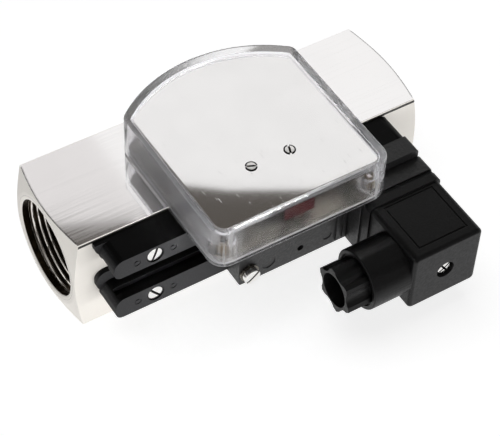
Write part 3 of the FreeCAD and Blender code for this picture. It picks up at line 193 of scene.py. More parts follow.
# Roughness, as the lowest and highest value over a surface, or one value
POLISHED = (0.05, 0.09)
SATIN = (0.42, 0.52)
MIRROR = (0.04, 0.055)
SCRATCHED = 0.25
PLATE_UNDERSIDE_ROUGHNESS = 0.5
THREAD_FACE_ROUGHNESS = 0.5
CREST_ROUGHNESS = 0.25
ROOT_ROUGHNESS = 0.42
SCREW_GLOSS = (0.14, 0.26)
SHADED_ROUGHNESS = 0.6
RAIL_FACE_ROUGHNESS = (0.5, 0.72)
RAIL_TOP_ROUGHNESS = 0.35
CLEAR_WALL_ROUGHNESS = (0.17, 0.25)
CLEAR_RIM_ROUGHNESS = 0.08

# Satin plating scatters light as a pale surface does, so it is only partly metallic
SATIN_METALLIC = 0.3

# Wear of the plating: share of a darker shade in clouds and in streaks
CLOUD_WEAR = 0.05
STREAK_WEAR = 0.06
WEAR_SHADE = 0.6

# Inside the port, the crests near the mouth carry a painted highlight and those further in a painted shade
CREST_BAND = 0.2 * MM
CREST_FADE = 0.3 * MM
BRIGHT_CRESTS = 5 * MM
DARK_CRESTS = 11 * MM
DARK_CREST_SHARE = 0.06

# A screw's slot is darkened as painted shade below this depth, and the rim of a head without a ring stays
# bright
SLOT_SHADE_DEPTH = 0.45 * MM
BRIGHT_RIM = 0.3 * MM

# Clear plastic: share of light that passes the rims, the lip, the front corners and the side walls
CLEAR_INDEX = 1.17
RIM_CLARITY = 0.8
LIP_CLARITY = 0.7
CORNER_CLARITY = 0.72
SIDE_CLARITY_FRONT = (0.9, 0.8)
SIDE_CLARITY_BACK = (0.97, 0.94)
HAZE_LENGTH = 45 * MM
LIP_FADE = 0.24 * MM
CORNER_HAZE = 2 * COVER_FRONT_CORNER
CORNER_HAZE_FADE = 1.2 * COVER_FRONT_CORNER
CORNER_STREAKS = (0.2, 1)

# Parts of a surface's direction between which it changes from one finish to the next
NICKEL_TOP_TURN = (0.88, 0.95)
RAIL_TOP_TURN = (0.5, 0.95)
CLEAR_TOP_TURN = (0.93, 0.99)
CLEAR_RIM_TURN = (0.1, 0.3)
CLEAR_SIDE_TURN = (0.6, 0.9)
PLATE_BELOW_TURN = (-0.9, -0.5)

# Agreement of a rounded and a true surface direction between which an edge starts and ends
EDGE_TURN = (0.85, 0.97)
BEVEL_SAMPLES = 8

# Stretch of noise, which makes streaks along an axis, or flow lines across the cover's walls
STREAKS_ALONG_X = (0.02, 1, 1)
SCRATCHES_ALONG_Y = (1, 0.12, 1)
STREAKS_ALONG_Z = (1, 1, 0.06)
FLOW_LINES = (1, 1, 2.5)
BRUSHED_ALONG_X = (0.1, 1, 1)
BRUSHED_ALONG_Y = (1, 0.1, 1)

# Noise levels between which only its higher places count
STREAK_LEVELS = (0.5, 0.8)
HAIR_LEVELS = (0.5, 0.9)
SCRATCH_LEVELS = (0.68, 0.74)
SPECK_LEVELS = (0.5, 0.75)

# Grain of moulded and cast surfaces
CLOUD_SCALE = 90
GRAIN_DETAIL = 6
GRAIN_STRENGTH = 0.4
GLOSS_SPREAD = 0.2
SPECK_LIFT = 1.9
RAIL_GRAIN = 1500
RAIL_GRAIN_DEPTH = 0.08 * MM
RAIL_SPECKLE = 0.5
RAIL_SPECULAR = 0.06


def link(obj):
    bpy.context.scene.collection.objects.link(obj)
    return obj


def scaled(colour, factor):
    return tuple(min(channel * factor, 1) for channel in colour)


class Finish:
    """A material with one principled shader, and the nodes that vary it over the surface."""

    def __init__(self, name, colour, metallic=0.0, specular=0.5):
        self.material = bpy.data.materials.new(name)
        self.material.use_nodes = True
        self.tree = self.material.node_tree
        self.shader = self.tree.nodes["Principled BSDF"]
        self.set("Base Color", (*colour, 1))
        self.set("Roughness", 1)
        self.set("Metallic", metallic)
        self.set("Specular IOR Level", specular)
        self.coordinates = self.add("ShaderNodeTexCoord")

    def set(self, socket, value):
        self.shader.inputs[socket].default_value = value

    def add(self, kind, **settings):
        node = self.tree.nodes.new(kind)
        for name, value in settings.items():
            setattr(node, name, value)
        return node

    def join(self, output, socket):
        self.tree.links.new(output, socket)

    def feed(self, socket, value):
        """Give a socket a number, a colour or another node's output."""
        if isinstance(value, tuple):
            socket.default_value = (*value, 1)
        elif isinstance(value, (int, float)):
            socket.default_value = value
        else:
            self.join(value, socket)

    def drive(self, socket, output):
        self.join(output, self.shader.inputs[socket])

    def parts(self, output):
        """A vector's X, Y and Z."""
        node = self.add("ShaderNodeSeparateXYZ")
        self.join(output, node.inputs[0])
        return [node.outputs[axis] for axis in "XYZ"]

    def spot(self):
        """X, Y and Z of a point in the piece's own frame."""
        return self.parts(self.coordinates.outputs["Object"])

    def facing(self):
        """X, Y and Z of the direction that the surface faces."""
        return self.parts(self.coordinates.outputs["Normal"])

    def noise(self, scale, stretch=(1, 1, 1), detail=4):
        """Noise in the piece's own frame; scale is in waves per metre."""
        mapping = self.add("ShaderNodeMapping")
        mapping.inputs["Scale"].default_value = stretch
        self.join(self.coordinates.outputs["Object"], mapping.inputs["Vector"])
        texture = self.add("ShaderNodeTexNoise")
        texture.inputs["Scale"].default_value = scale
        texture.inputs["Detail"].default_value = detail
        self.join(mapping.outputs[0], texture.inputs["Vector"])
        return texture.outputs["Fac"]

    def span(self, output, low, high, start=0.3, end=0.7):
        """The output's stretch from start to end, mapped to low to high. Noise is mostly in 0.3 to 0.7."""
        node = self.add("ShaderNodeMapRange", interpolation_type="SMOOTHSTEP")
        for socket, value in zip(("From Min", "From Max", "To Min", "To Max"), (start, end, low, high)):
            node.inputs[socket].default_value = value
        self.join(output, node.inputs["Value"])
        return node.outputs[0]

    def above(self, output, level, fade):
        """0 up to a level, and 1 from a fade's width above it."""
        return self.span(output, 0, 1, level, level + fade)

    def below(self, output, level, fade):
        """1 up to a level, and 0 from a fade's width above it."""
        return self.span(output, 1, 0, level, level + fade)

    def share(self, mask, first, last):
        """The first value where a mask is 0, and the last where it is 1."""
        return self.span(mask, first, last, 0, 1)

    def math(self, operation, first, *others):
        """The first value after an operation with each of the others in turn."""
        for other in others or (0,):
            node = self.add("ShaderNodeMath", operation=operation)
            self.feed(node.inputs[0], first)
            self.feed(node.inputs[1], other)
            first = node.outputs[0]
        return first

    def reach(self, first, second):
        """How far a point lies from the axis, from its two coordinates across the axis."""
        squares = [self.math("MULTIPLY", item, item) for item in (first, second)]
        return self.math("SQRT", self.math("ADD", *squares))

    def from_middle(self, output, low, high):
        """How far a coordinate lies from the middle of its range."""
        return self.math("ABSOLUTE", self.math("SUBTRACT", output, (low + high) / 2))

    def mix(self, share, first, second, kind="FLOAT"):
        """A number or colour between two others."""
        node = self.add("ShaderNodeMix", data_type=kind)
        socket_type = "RGBA" if kind == "RGBA" else "VALUE"
        self.feed(node.inputs["Factor"], share)
        for name, value in (("A", first), ("B", second)):
            socket = next(item for item in node.inputs if item.name == name and item.type == socket_type)
            self.feed(socket, value)
        return next(item for item in node.outputs if item.type == socket_type)

    def blend(self, share, first, second):
        return self.mix(share, first, second, "RGBA")

    def clouded(self, cloud, colour, darkest, palest):
        """A colour that follows a noise between two multiples of itself."""
        return self.blend(self.span(cloud, 0, 1), scaled(colour, darkest), scaled(colour, palest))

    def speckled(self, grain, shade, colour, amount):
        """A shade with pale specks of a colour where the grain is highest."""
        return self.blend(self.span(grain, 0, amount, *SPECK_LEVELS), shade, scaled(colour, SPECK_LIFT))

    def layer(self, share, first, second):
        """A shader between two others."""
        node = self.add("ShaderNodeMixShader")
        for socket, output in zip(node.inputs, (share, first, second)):
            self.join(output, socket)
        return node.outputs[0]

    def rounded(self, radius):
        """The surface's direction with its edges rounded."""
        node = self.add("ShaderNodeBevel", samples=BEVEL_SAMPLES)
        node.inputs["Radius"].default_value = radius
        return node.outputs[0]

    def edges(self, width):
        """1 along the piece's edges and 0 away from them."""
        sharp = self.add("ShaderNodeNewGeometry")
        agreement = self.add("ShaderNodeVectorMath", operation="DOT_PRODUCT")
        self.join(self.rounded(width), agreement.inputs[0])
        self.join(sharp.outputs["Normal"], agreement.inputs[1])
        return self.span(agreement.outputs["Value"], 1, 0, *EDGE_TURN)

    def bump(self, height, strength, depth, edge_round=None):
        """Raise the surface by a height, and round its edges where a radius is given."""
        node = self.add("ShaderNodeBump")
        if edge_round:
            self.join(self.rounded(edge_round), node.inputs["Normal"])
        node.inputs["Strength"].default_value = strength
        node.inputs["Distance"].default_value = depth
        self.join(height, node.inputs["Height"])
        self.drive("Normal", node.outputs[0])


def grained(name, colour, roughness, metallic=0.0, specular=0.5, grain=2500, depth=0.02 * MM,
            stretch=(1, 1, 1), spread=0.1, speckle=0.0):
    """A finish with cloudy colour, uneven gloss and a fine grain."""
    finish = Finish(name, colour, metallic, specular)
    fine = finish.noise(grain, stretch, GRAIN_DETAIL)
    shade = finish.clouded(finish.noise(CLOUD_SCALE), colour, 1 - spread, 1 + spread)
    if speckle:
        shade = finish.speckled(fine, shade, colour, speckle)
    finish.drive("Base Color", shade)
    dullest = min(roughness * (1 + GLOSS_SPREAD), 1)
    finish.drive("Roughness", finish.span(fine, roughness * (1 - GLOSS_SPREAD), dullest))
    finish.bump(fine, GRAIN_STRENGTH, depth)
    return finish


def make_nickel(name, low, high, rail_top):
    """Plated brass: polished on top, satin elsewhere, with painted shade inside the port, a painted shadow
    above the rail and a painted dark reflection along the tops of the turned ends.
    """
    finish = Finish(name, NICKEL)
    _, y, z = finish.spot()
    upward = finish.span(finish.facing()[2], 0, 1, *NICKEL_TOP_TURN)
    at_top = finish.above(z, high.z - EDGE_LINE_DEPTH, FADE)
    behind_front = finish.above(y, low.y + EDGE_LINE_END, WIDE_FADE)
    before_back = finish.below(y, high.y - EDGE_LINE_END - WIDE_FADE, WIDE_FADE)
    # Painted dark reflection along the top edges of the turned ends
    painted_edge_reflections = finish.math("MULTIPLY", finish.edges(EDGE_LINE), at_top, behind_front, before_back)
    # Painted shadow on the front face, between the rail's top and the bar's top edge
    at_front = finish.below(y, low.y + SKIN, FINE_FADE)
    above_rail = finish.above(z, rail_top - SHADOW_START_BELOW_RAIL_TOP, FADE)
    below_edge = finish.below(z, high.z - SHADOW_END_BELOW_BAR_TOP, FADE)
    painted_rail_shadow = finish.math("MULTIPLY", at_front, above_rail, below_edge)
    # Painted shade inside the port's bore
    port = finish.below(finish.reach(y, z), PORT_RADIUS + SKIN, FADE)
    dark = finish.math("MAXIMUM", painted_edge_reflections, painted_rail_shadow, port)
    streaks = finish.noise(scale=1500, stretch=STREAKS_ALONG_X)
    cloud = finish.noise(scale=40, detail=3)
    streak_wear = finish.span(streaks, 0, STREAK_WEAR, *STREAK_LEVELS)
    worn = finish.math("ADD", finish.span(cloud, 0, CLOUD_WEAR), streak_wear)
    shade = finish.blend(worn, finish.blend(upward, NICKEL_SATIN, NICKEL), scaled(NICKEL, WEAR_SHADE))
    finish.drive("Base Color", finish.blend(dark, shade, PAINTED_DARK))
    polished = finish.span(streaks, *POLISHED)
    finish.drive("Roughness", finish.mix(upward, finish.span(cloud, *SATIN), polished))
    finish.drive("Metallic", finish.share(upward, SATIN_METALLIC, 1))
    finish.bump(streaks, strength=0.006, depth=0.01 * MM, edge_round=EDGE_ROUND)
    return finish


def make_thread_metal(name, low, high):
    """The port's inside: plated face, mouth and roots in bronze darkened as painted shade, and crests with
    a painted highlight near the mouth that turns to painted shade further in.
    """
    finish = Finish(name, BRONZE_IN_PAINTED_SHADE)
    x, y, z = finish.spot()
    beside = finish.from_middle(x, low, high)
    half = (high - low) / 2
    mouth = half - THREAD_MOUTH
    face = finish.above(beside, half - 1.5 * THREAD_CHAMFER, THREAD_CHAMFER / 2)
    crest = finish.below(finish.reach(y, z), THREAD_CREST + CREST_BAND, CREST_FADE)
    threaded = finish.below(beside, mouth, CREST_FADE)
    # Painted highlight on the crests near the mouth, fading to painted shade further in
    painted_crest_light = finish.span(beside, DARK_CREST_SHARE, 1, mouth - DARK_CRESTS, mouth - BRIGHT_CRESTS)
    bright = finish.math("MULTIPLY", crest, threaded, painted_crest_light)
    root = finish.clouded(finish.noise(scale=200), BRONZE_IN_PAINTED_SHADE, darkest=0.5, palest=1.4)
    finish.drive("Base Color", finish.blend(finish.math("MAXIMUM", bright, face), root, NICKEL_SATIN))
    thread_roughness = finish.mix(crest, ROOT_ROUGHNESS, CREST_ROUGHNESS)
    finish.drive("Roughness", finish.mix(face, thread_roughness, THREAD_FACE_ROUGHNESS))
    finish.drive("Metallic", finish.share(face, 1, SATIN_METALLIC))
    finish.bump(finish.noise(scale=2500), strength=0.2, depth=0.02 * MM)
    return finish


def make_plate_metal(name, low, high):
    """The dial plate: mirror-like with fine scratches, a painted shadow along its front edges, and a dull
    underside darkened as painted shade.
    """
    finish = Finish(name, PLATE, metallic=1)
    shade = finish.clouded(finish.noise(scale=60), PLATE, darkest=0.985, palest=1.015)
    # Painted shadow of the gap along the plate's front edges
    in_front = finish.below(finish.spot()[1], (low.y + high.y - PLATE_FADE) / 2, PLATE_FADE)
    edge = finish.math("MULTIPLY", finish.edges(PLATE_LINE), in_front)
    # Underside darkened as painted shade
    underside = finish.span(finish.facing()[2], 1, 0, *PLATE_BELOW_TURN)
    upper = finish.blend(edge, shade, PAINTED_DARK)
    finish.drive("Base Color", finish.blend(underside, upper, PLATE_UNDERSIDE_PAINTED_SHADE))
    hairs = finish.noise(scale=2600, stretch=STREAKS_ALONG_X, detail=3)
    scratches = finish.noise(scale=1500, stretch=SCRATCHES_ALONG_Y, detail=2)
    scuffed = finish.span(scratches, 0, SCRATCHED, *SCRATCH_LEVELS)
    mirror = finish.math("MAXIMUM", finish.span(hairs, *MIRROR, *HAIR_LEVELS), scuffed)
    finish.drive("Roughness", finish.mix(underside, mirror, PLATE_UNDERSIDE_ROUGHNESS))
    finish.bump(hairs, strength=0.01, depth=0.01 * MM)
    return finish


def make_clear(name, low, high):
    """Moulded clear plastic: clear top, blurring walls, milky rims, lip and front corners, hazy sides."""
    finish = Finish(name, CLEAR)
    finish.set("IOR", CLEAR_INDEX)
    x, y, z = finish.spot()
    across, _, level = [finish.math("ABSOLUTE", part) for part in finish.facing()]
    upward = finish.span(level, 0, 1, *CLEAR_TOP_TURN)
    rounded = finish.math("SUBTRACT", finish.span(level, 0, 1, *CLEAR_RIM_TURN), upward)
    flow = finish.noise(scale=120, stretch=FLOW_LINES, detail=3)
    walls = finish.span(flow, *CLEAR_WALL_ROUGHNESS)
    finish.drive("Roughness", finish.mix(upward, finish.mix(rounded, walls, CLEAR_RIM_ROUGHNESS), 0.0))
    rim = finish.share(rounded, 1, RIM_CLARITY)
    lip_top = low.z + COVER_LIP_ROUND
    lip = finish.span(z, LIP_CLARITY, 1, lip_top - LIP_FADE, lip_top + LIP_FADE)
    side = finish.span(across, 0, 1, *CLEAR_SIDE_TURN)
    forward = finish.below(y, low.y, HAZE_LENGTH)
    front_haze = finish.span(flow, *SIDE_CLARITY_FRONT)
    back_haze = finish.span(flow, *SIDE_CLARITY_BACK)
    hazy = finish.mix(side, 1, finish.mix(forward, back_haze, front_haze))
    near_front = finish.below(y, low.y, COVER_FRONT_CORNER)
    corner_start = (high.x - low.x) / 2 - CORNER_HAZE
    turned = finish.above(finish.from_middle(x, low.x, high.x), corner_start, CORNER_HAZE_FADE)
    streaks = finish.span(finish.noise(scale=900, stretch=STREAKS_ALONG_Z, detail=3), *CORNER_STREAKS)
    corner = finish.share(finish.math("MULTIPLY", near_front, turned, streaks), 1, CORNER_CLARITY)
    finish.drive("Transmission Weight", finish.math("MINIMUM", lip, rim, corner, hazy))
    window = finish.add("ShaderNodeBsdfRefraction")
    window.inputs["Color"].default_value = CLEAR_TOP
    window.inputs["Roughness"].default_value = 0
    window.inputs["IOR"].default_value = CLEAR_INDEX
    shadow = finish.add("ShaderNodeBsdfTransparent")
    shadow.inputs["Color"].default_value = CLEAR_SHADOW
    path = finish.add("ShaderNodeLightPath")
    surface = finish.layer(upward, finish.shader.outputs[0], window.outputs[0])
    surface = finish.layer(path.outputs["Is Shadow Ray"], surface, shadow.outputs[0])
    finish.join(surface, finish.tree.nodes["Material Output"].inputs["Surface"])
    return finish


def make_rail_plastic(name):
    """Moulded rails: grained grey-black faces; smooth tops, darkened to deep black as painted shade."""
    finish = Finish(name, RAIL_FACE, specular=RAIL_SPECULAR)
    upward = finish.span(finish.facing()[2], 0, 1, *RAIL_TOP_TURN)
    fine = finish.noise(RAIL_GRAIN, detail=GRAIN_DETAIL)
    face = finish.speckled(fine, RAIL_FACE, RAIL_FACE, RAIL_SPECKLE)
    finish.drive("Base Color", finish.blend(upward, face, RAIL_TOP_PAINTED_SHADE))
    face_roughness = finish.span(fine, *RAIL_FACE_ROUGHNESS)
    finish.drive("Roughness", finish.mix(upward, face_roughness, RAIL_TOP_ROUGHNESS))
    finish.bump(fine, GRAIN_STRENGTH, RAIL_GRAIN_DEPTH)
    return finish


def make_screw_metal(name, head, ring):
    """Bright screw metal with its slot darkened as painted shade, and a painted shadow ring round the head
    where a width is given.
    """
    finish = Finish(name, SCREW, metallic=1)
    x, y, z = finish.spot()
    outwards = finish.reach(x, y)
    sunk = finish.below(z, -SLOT_SHADE_DEPTH, FINE_FADE)
    if ring:
        dark = finish.math("MAXIMUM", sunk, finish.above(outwards, head - 1.2 * ring, 0.2 * ring))
    else:
        dark = finish.math("MULTIPLY", sunk, finish.below(outwards, head - BRIGHT_RIM, FINE_FADE))
    metal = finish.clouded(finish.noise(scale=500), SCREW, darkest=0.93, palest=1.03)
    finish.drive("Base Color", finish.blend(dark, metal, SHADED))
    fine = finish.noise(scale=2500)
    finish.drive("Roughness", finish.mix(dark, finish.span(fine, *SCREW_GLOSS), SHADED_ROUGHNESS))
    finish.bump(fine, strength=0.2, depth=0.01 * MM)
    return finish


GRAINED_FINISHES = {
    "nickel_screw": dict(colour=SCREW, roughness=0.2, metallic=1, grain=1500, depth=0.01 * MM, spread=0.03),
    "steel": dict(colour=STEEL, roughness=0.28, metallic=1, grain=3000, stretch=BRUSHED_ALONG_Y),
    "brass": dict(colour=BRASS, roughness=0.5, metallic=1, grain=3000, stretch=BRUSHED_ALONG_X),
    "magnet": dict(colour=MAGNET, roughness=0.5),
    "black_plastic": dict(colour=BLACK_PLASTIC, roughness=0.45, grain=900, depth=0.4 * MM, speckle=0.7),
    "plug_plastic": dict(colour=PLUG_PLASTIC, roughness=0.38, specular=0.2, grain=1100, depth=0.12 * MM,
                         speckle=0.3),
    "base_plastic": dict(colour=BASE_PLASTIC, roughness=0.5, specular=0.2, depth=0.03 * MM, spread=0.7),
    "red_plastic": dict(colour=RED_PLASTIC, roughness=0.5, specular=0.1),
    "rubber": dict(colour=RUBBER, roughness=0.7, specular=0.2, depth=0.04 * MM),
    "reed_glass": dict(colour=REED_GLASS, roughness=0.12, grain=1500, depth=0.005 * MM),
}
BODY_LOW, BODY_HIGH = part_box("flow_body")
FINISHES = {name: grained(name, **looks) for name, looks in GRAINED_FINISHES.items()}
FINISHES["nickel"] = make_nickel("nickel", BODY_LOW, BODY_HIGH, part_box("upper_rail")[1].z)
FINISHES["clear_plastic"] = make_clear("clear_plastic", *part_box("dial_cover"))
FINISHES["mirror_plate"] = make_plate_metal("mirror_plate", *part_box("dial_plate"))
THREAD_METAL = make_thread_metal("thread_metal", BODY_LOW.x, BODY_HIGH.x)
RAIL_PLASTIC = make_rail_plastic("rail_plastic")
WASHER_METAL = grained("washer_metal", WASHER, roughness=0.25, metallic=1, grain=1500, depth=0.01 * MM)
NODE_FINISHES = {"upper_rail": RAIL_PLASTIC, "lower_rail": RAIL_PLASTIC, "clamp_washer": WASHER_METAL}

for row in frame["record"]["subparts"]:
    node = nodes[row["node"]]
    node.data.materials.clear()
    finish = NODE_FINISHES.get(row["node"]) or FINISHES[row["material_slot"]]
    node.data.materials.append(finish.material)


def add_piece(name, mesh, body, slot, finish=None, stands_for=None, matrix=None):
    """A new piece that moves with a body and takes a slot's finish."""
    piece = link(bpy.data.objects.new(name, mesh))
    mesh.materials.clear()
    mesh.materials.append((finish or FINISHES[slot]).material)
    if matrix:
        piece.matrix_world = matrix
    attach(piece, body)
    if stands_for:
        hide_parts(stands_for)
    return piece


def mesh_from(name, shape, smooth_angle=None):
    """A mesh from a shape, smooth except where its edges are sharper than the angle."""
    mesh = bpy.data.meshes.new(name)
    bmesh.ops.recalc_face_normals(shape, faces=shape.faces)
    for face in shape.faces:
        face.smooth = smooth_angle is not None
    if smooth_angle is not None:
        for edge in shape.edges:
            if len(edge.link_faces) == 2:
                edge.smooth = edge.calc_face_angle() < smooth_angle
    shape.to_mesh(mesh)
    shape.free()
    return mesh


def full_turn(count):
    """Angles evenly round a circle."""
    return [2 * math.pi * step / count for step in range(count)]


def loft(shape, rows, closed=False):
    """Join rings of points into a skin."""
    rings = [[shape.verts.new(point) for point in row] for row in rows]
    pairs = list(zip(rings, rings[1:]))
    if closed:
        pairs.append((rings[-1], rings[0]))
    for first, second in pairs:
        count = len(first)
        for step in range(count):
            after = (step + 1) % count
            shape.faces.new((first[step], first[after], second[after], second[step]))
    return rings


def cap(shape, rings):
    shape.faces.new(list(reversed(rings[0])))
    shape.faces.new(rings[-1])


def lathe(profile, segments=64):
    """A closed turned solid about Z, from (radius, height) points that start and end near the axis."""
    angles = full_turn(segments)
    rows = []
    for radius, height in profile:
        rows.append([(radius * math.cos(angle), radius * math.sin(angle), height) for angle in angles])
    shape = bmesh.new()
    cap(shape, loft(shape, rows))
    return shape


def combined(mesh, others, operation):
    """The mesh after a boolean operation with each of the others."""
    body = link(bpy.data.objects.new("boolean_body", mesh))
    tools = []
    for other in others:
        tool = link(bpy.data.objects.new("boolean_tool", other))
        tools.append(tool)
        modifier = body.modifiers.new("boolean", "BOOLEAN")
        modifier.operation = operation
        modifier.solver = "EXACT"
        modifier.object = tool
    bpy.context.view_layer.update()
    result = bpy.data.meshes.new_from_object(body.evaluated_get(bpy.context.evaluated_depsgraph_get()))
    for item in [body, *tools]:
        bpy.data.objects.remove(item)
    return result


def slot_cutter(length, width, depth):
    """A block that cuts an upright slot down to a depth below 0."""
    shape = bmesh.new()
    bmesh.ops.create_cube(shape, size=1)
    bmesh.ops.scale(shape, vec=(length, width, 2 * depth), verts=shape.verts)
    return mesh_from("slot_cutter", shape)


def screw_mesh(name, length, cross, head, head_height, shank, slot_width, slot_depth, crown):
    """A screw along Z with its head's top at 0: crowned head, round rim, and a chamfered tip."""
    rim = min(0.22 * head_height, 0.35 * MM)
    rim_steps = 4
    tip = shank * 0.3
    seat = -head_height
    end = seat - length
    profile = [
        (AXIS, end), (shank - tip, end), (shank, end + tip), (shank, seat),
        (head - rim / 2, seat), (head, seat + rim / 2), (head, -rim - crown),
    ]
    for step in range(1, rim_steps + 1):
        angle = step / rim_steps * math.pi / 2
        profile.append((head - rim * (1 - math.cos(angle)), -crown - rim * (1 - math.sin(angle))))
    for share in (0.75, 0.5, 0.25):
        profile.append(((head - rim) * share, -crown * share * share))
    profile.append((AXIS, 0))
    slots = [slot_cutter(4 * head, slot_width, slot_depth)]
    if cross:
        slots.append(slot_cutter(slot_width, 1.5 * head, slot_depth))
    mesh = combined(mesh_from(name, lathe(profile)), slots, "DIFFERENCE")
    mesh.name = name
    for polygon in mesh.polygons:
        polygon.use_smooth = True
    return mesh


def soften(obj, width, angle):
    """Round an object's sharp edges a little."""
    edge = obj.modifiers.new("soft edges", "BEVEL")
    edge.width = width
    edge.segments = 2
    edge.limit_method = "ANGLE"
    edge.angle_limit = math.radians(angle)
    edge.harden_normals = True


def soften_node(name):
    """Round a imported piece's sharp edges, after joining its triangles into faces."""
    weld = nodes[name].modifiers.new("weld", "WELD")
    weld.merge_threshold = 1e-6
    flat = nodes[name].modifiers.new("flat faces", "DECIMATE")
    flat.decimate_type = "DISSOLVE"
    flat.angle_limit = math.radians(0.5)
    soften(nodes[name], PLASTIC_SOFTENING, PLASTIC_SOFT_ANGLE)


FACING_FRONT = Matrix.Rotation(math.radians(90), 4, "X")
FACING_UP = Matrix.Identity(4)


def add_screw(name, node, place, facing, stop, length, sizes, ring=None, cross=False):
    """A screw whose head's top lies at a place, turned to its stop angle."""
    mesh = screw_mesh(name, length, cross, **sizes)
    matrix = Matrix.Translation(place) @ facing @ Matrix.Rotation(math.radians(stop), 4, "Z")
    finish = make_screw_metal(f"{name}_metal", sizes["head"], ring)
    piece = add_piece(name, mesh, node_body[node], "nickel_screw", finish, node, matrix)
    soften(piece, SCREW_SOFTENING, SCREW_SOFT_ANGLE)


def add_rail_screws():
    low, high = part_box("rail_screws")
    head = RAIL_SCREW["head"]
    length = high.y - low.y - RAIL_SCREW["head_height"]
    columns = {"left": low.x + head, "right": high.x - head}
    rows = {"lower": low.z + head, "upper": high.z - head}
    for name, stop in RAIL_SCREW_STOPS.items():
        row, column = name.split("_")
        place = Vector((columns[column], low.y, rows[row]))
        add_screw(f"rail_screw_{name}", "rail_screws", place, FACING_FRONT, stop, length,
                  RAIL_SCREW, SCREW_RING)


def add_dial_screws():
    low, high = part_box("dial_screws")
    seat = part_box("dial_plate")[1].z
    head = DIAL_SCREW["head"]
    length = seat - low.z
    columns = {"left": low.x + head, "right": high.x - head}
    for name, stop in DIAL_SCREW_STOPS.items():
        place = Vector((columns[name], (low.y + high.y) / 2, seat + DIAL_SCREW["head_height"]))
        add_screw(f"dial_screw_{name}", "dial_screws", place, FACING_UP, stop, length,
                  DIAL_SCREW, DIAL_SCREW_RING)


def add_front_screw(node, stop, sizes, ring=None, cross=False):
    """A screw that faces the front and stands for a whole node, whose width is its head's."""
    low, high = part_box(node)
    length = high.y - low.y - sizes["head_height"]
    place = Vector(((low.x + high.x) / 2, low.y, (low.z + high.z) / 2))
    sizes = dict(sizes, head=(high.x - low.x) / 2)
    add_screw(f"{node}_turned", node, place, FACING_FRONT, stop, length, sizes, ring, cross)


def arc(centre, radius, start, end, count):
    """Points along an arc, each with its outward direction; angles in degrees."""
    points = []
    for step in range(count + 1):
        angle = math.radians(start + (end - start) * step / count)
        outwards = Vector((math.cos(angle), math.sin(angle), 0))
        points.append((centre + radius * outwards, outwards))
    return points


def cover_outline(low, high, pivot):
    """The cover's D outline: round at the back about the pivot, straight at the sides and the front."""
    half, sweep = (high.x - low.x) / 2, high.y - pivot.y
    front, back = COVER_FRONT_CORNER, COVER_BACK_CORNER
    front_corner = Vector((half - front, low.y + front - pivot.y, 0))
    back_corner = Vector((half - back, math.sqrt((sweep - back) ** 2 - (half - back) ** 2), 0))
    shoulder = math.degrees(math.atan2(back_corner.y, back_corner.x))
    mirror = Vector((-1, 1, 1))
    outline = arc(front_corner, front, -90, 0, count=12)
    outline += arc(back_corner, back, 0, shoulder, count=8)
    outline += arc(Vector(), sweep, shoulder, 180 - shoulder, count=64)[1:-1]
    outline += arc(mirror * back_corner, back, 180 - shoulder, 180, count=8)
    outline += arc(mirror * front_corner, front, 180, 270, count=12)
    return [(pivot + point, outwards) for point, outwards in outline]


def cover_shell(low, high, pivot):
    """The cover's wall and roof, as rings of the outline that are inset along a profile."""
    bottom, ceiling = low.z + COVER_LIFT, high.z - COVER_ROOF
    inner_round = Vector((COVER_WALL + COVER_INNER_ROUND, ceiling - COVER_INNER_ROUND, 0))
    lip_round = Vector((COVER_LIP_ROUND, bottom + COVER_LIP_ROUND, 0))
    top_round = Vector((COVER_TOP_ROUND, high.z - COVER_TOP_ROUND, 0))
    profile = arc(inner_round, COVER_INNER_ROUND, 90, 180, count=4)
    profile.append((Vector((COVER_WALL, bottom, 0)), None))
    profile += arc(lip_round, COVER_LIP_ROUND, 270, 180, count=5)
    profile += arc(top_round, COVER_TOP_ROUND, 180, 90, count=8)
    outline = cover_outline(low, high, pivot)
    rows = []
    for corner, _ in profile:
        rows.append([Vector((*(point - corner.x * outwards).xy, corner.y)) for point, outwards in outline])
    shape = bmesh.new()
    cap(shape, loft(shape, rows))
    return mesh_from("clear_cover", shape)


def boss_mesh(place, bottom, top):
    """A round boss with a softened top."""
    profile = [
        (AXIS, bottom), (BOSS_RADIUS, bottom), (BOSS_RADIUS, top - BOSS_ROUND),
        (BOSS_RADIUS - BOSS_ROUND, top), (AXIS, top),
    ]
    shape = lathe(profile, segments=48)
    bmesh.ops.translate(shape, vec=place, verts=shape.verts)
    return mesh_from("boss", shape)


def add_cover():
    """The clear cover with a boss round each of its inserts."""
    low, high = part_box("dial_cover")
    pin_low, pin_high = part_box("pivot_pin")
    pivot = Vector(((pin_low.x + pin_high.x) / 2, (pin_low.y + pin_high.y) / 2, 0))
    insert_low, insert_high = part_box("cover_inserts")
    across = (insert_high.y - insert_low.y) / 2
    bosses = []
    for x in (insert_low.x + across, insert_high.x - across):
        place = Vector((x, (insert_low.y + insert_high.y) / 2, 0))
        bosses.append(boss_mesh(place, insert_low.z, insert_high.z + BOSS_CAP))
    mesh = combined(cover_shell(low, high, pivot), bosses, "UNION")
    mesh.name = "clear_cover"
    mesh.shade_smooth()
    mesh.set_sharp_from_angle(angle=math.radians(30))
    piece = add_piece("clear_cover", mesh, "meter", "clear_plastic", stands_for="dial_cover")
    level = piece.modifiers.new("flat faces", "WEIGHTED_NORMAL")
    level.keep_sharp = True
    return piece


def thread_radius(depth, turn):
    """The thread's radius at a depth in the port and a share of a turn, plain in the mouth."""
    phase = (depth / THREAD_PITCH - turn) % 1
    groove = 1 - min(1, max(0, FLANK_SLOPE * abs(2 * phase - 1) - ROOT_FLAT))
    started = min(1, max(0, (depth - THREAD_MOUTH) / THREAD_PITCH * 2))
    return THREAD_CREST + (THREAD_ROOT - THREAD_CREST) * groove * started


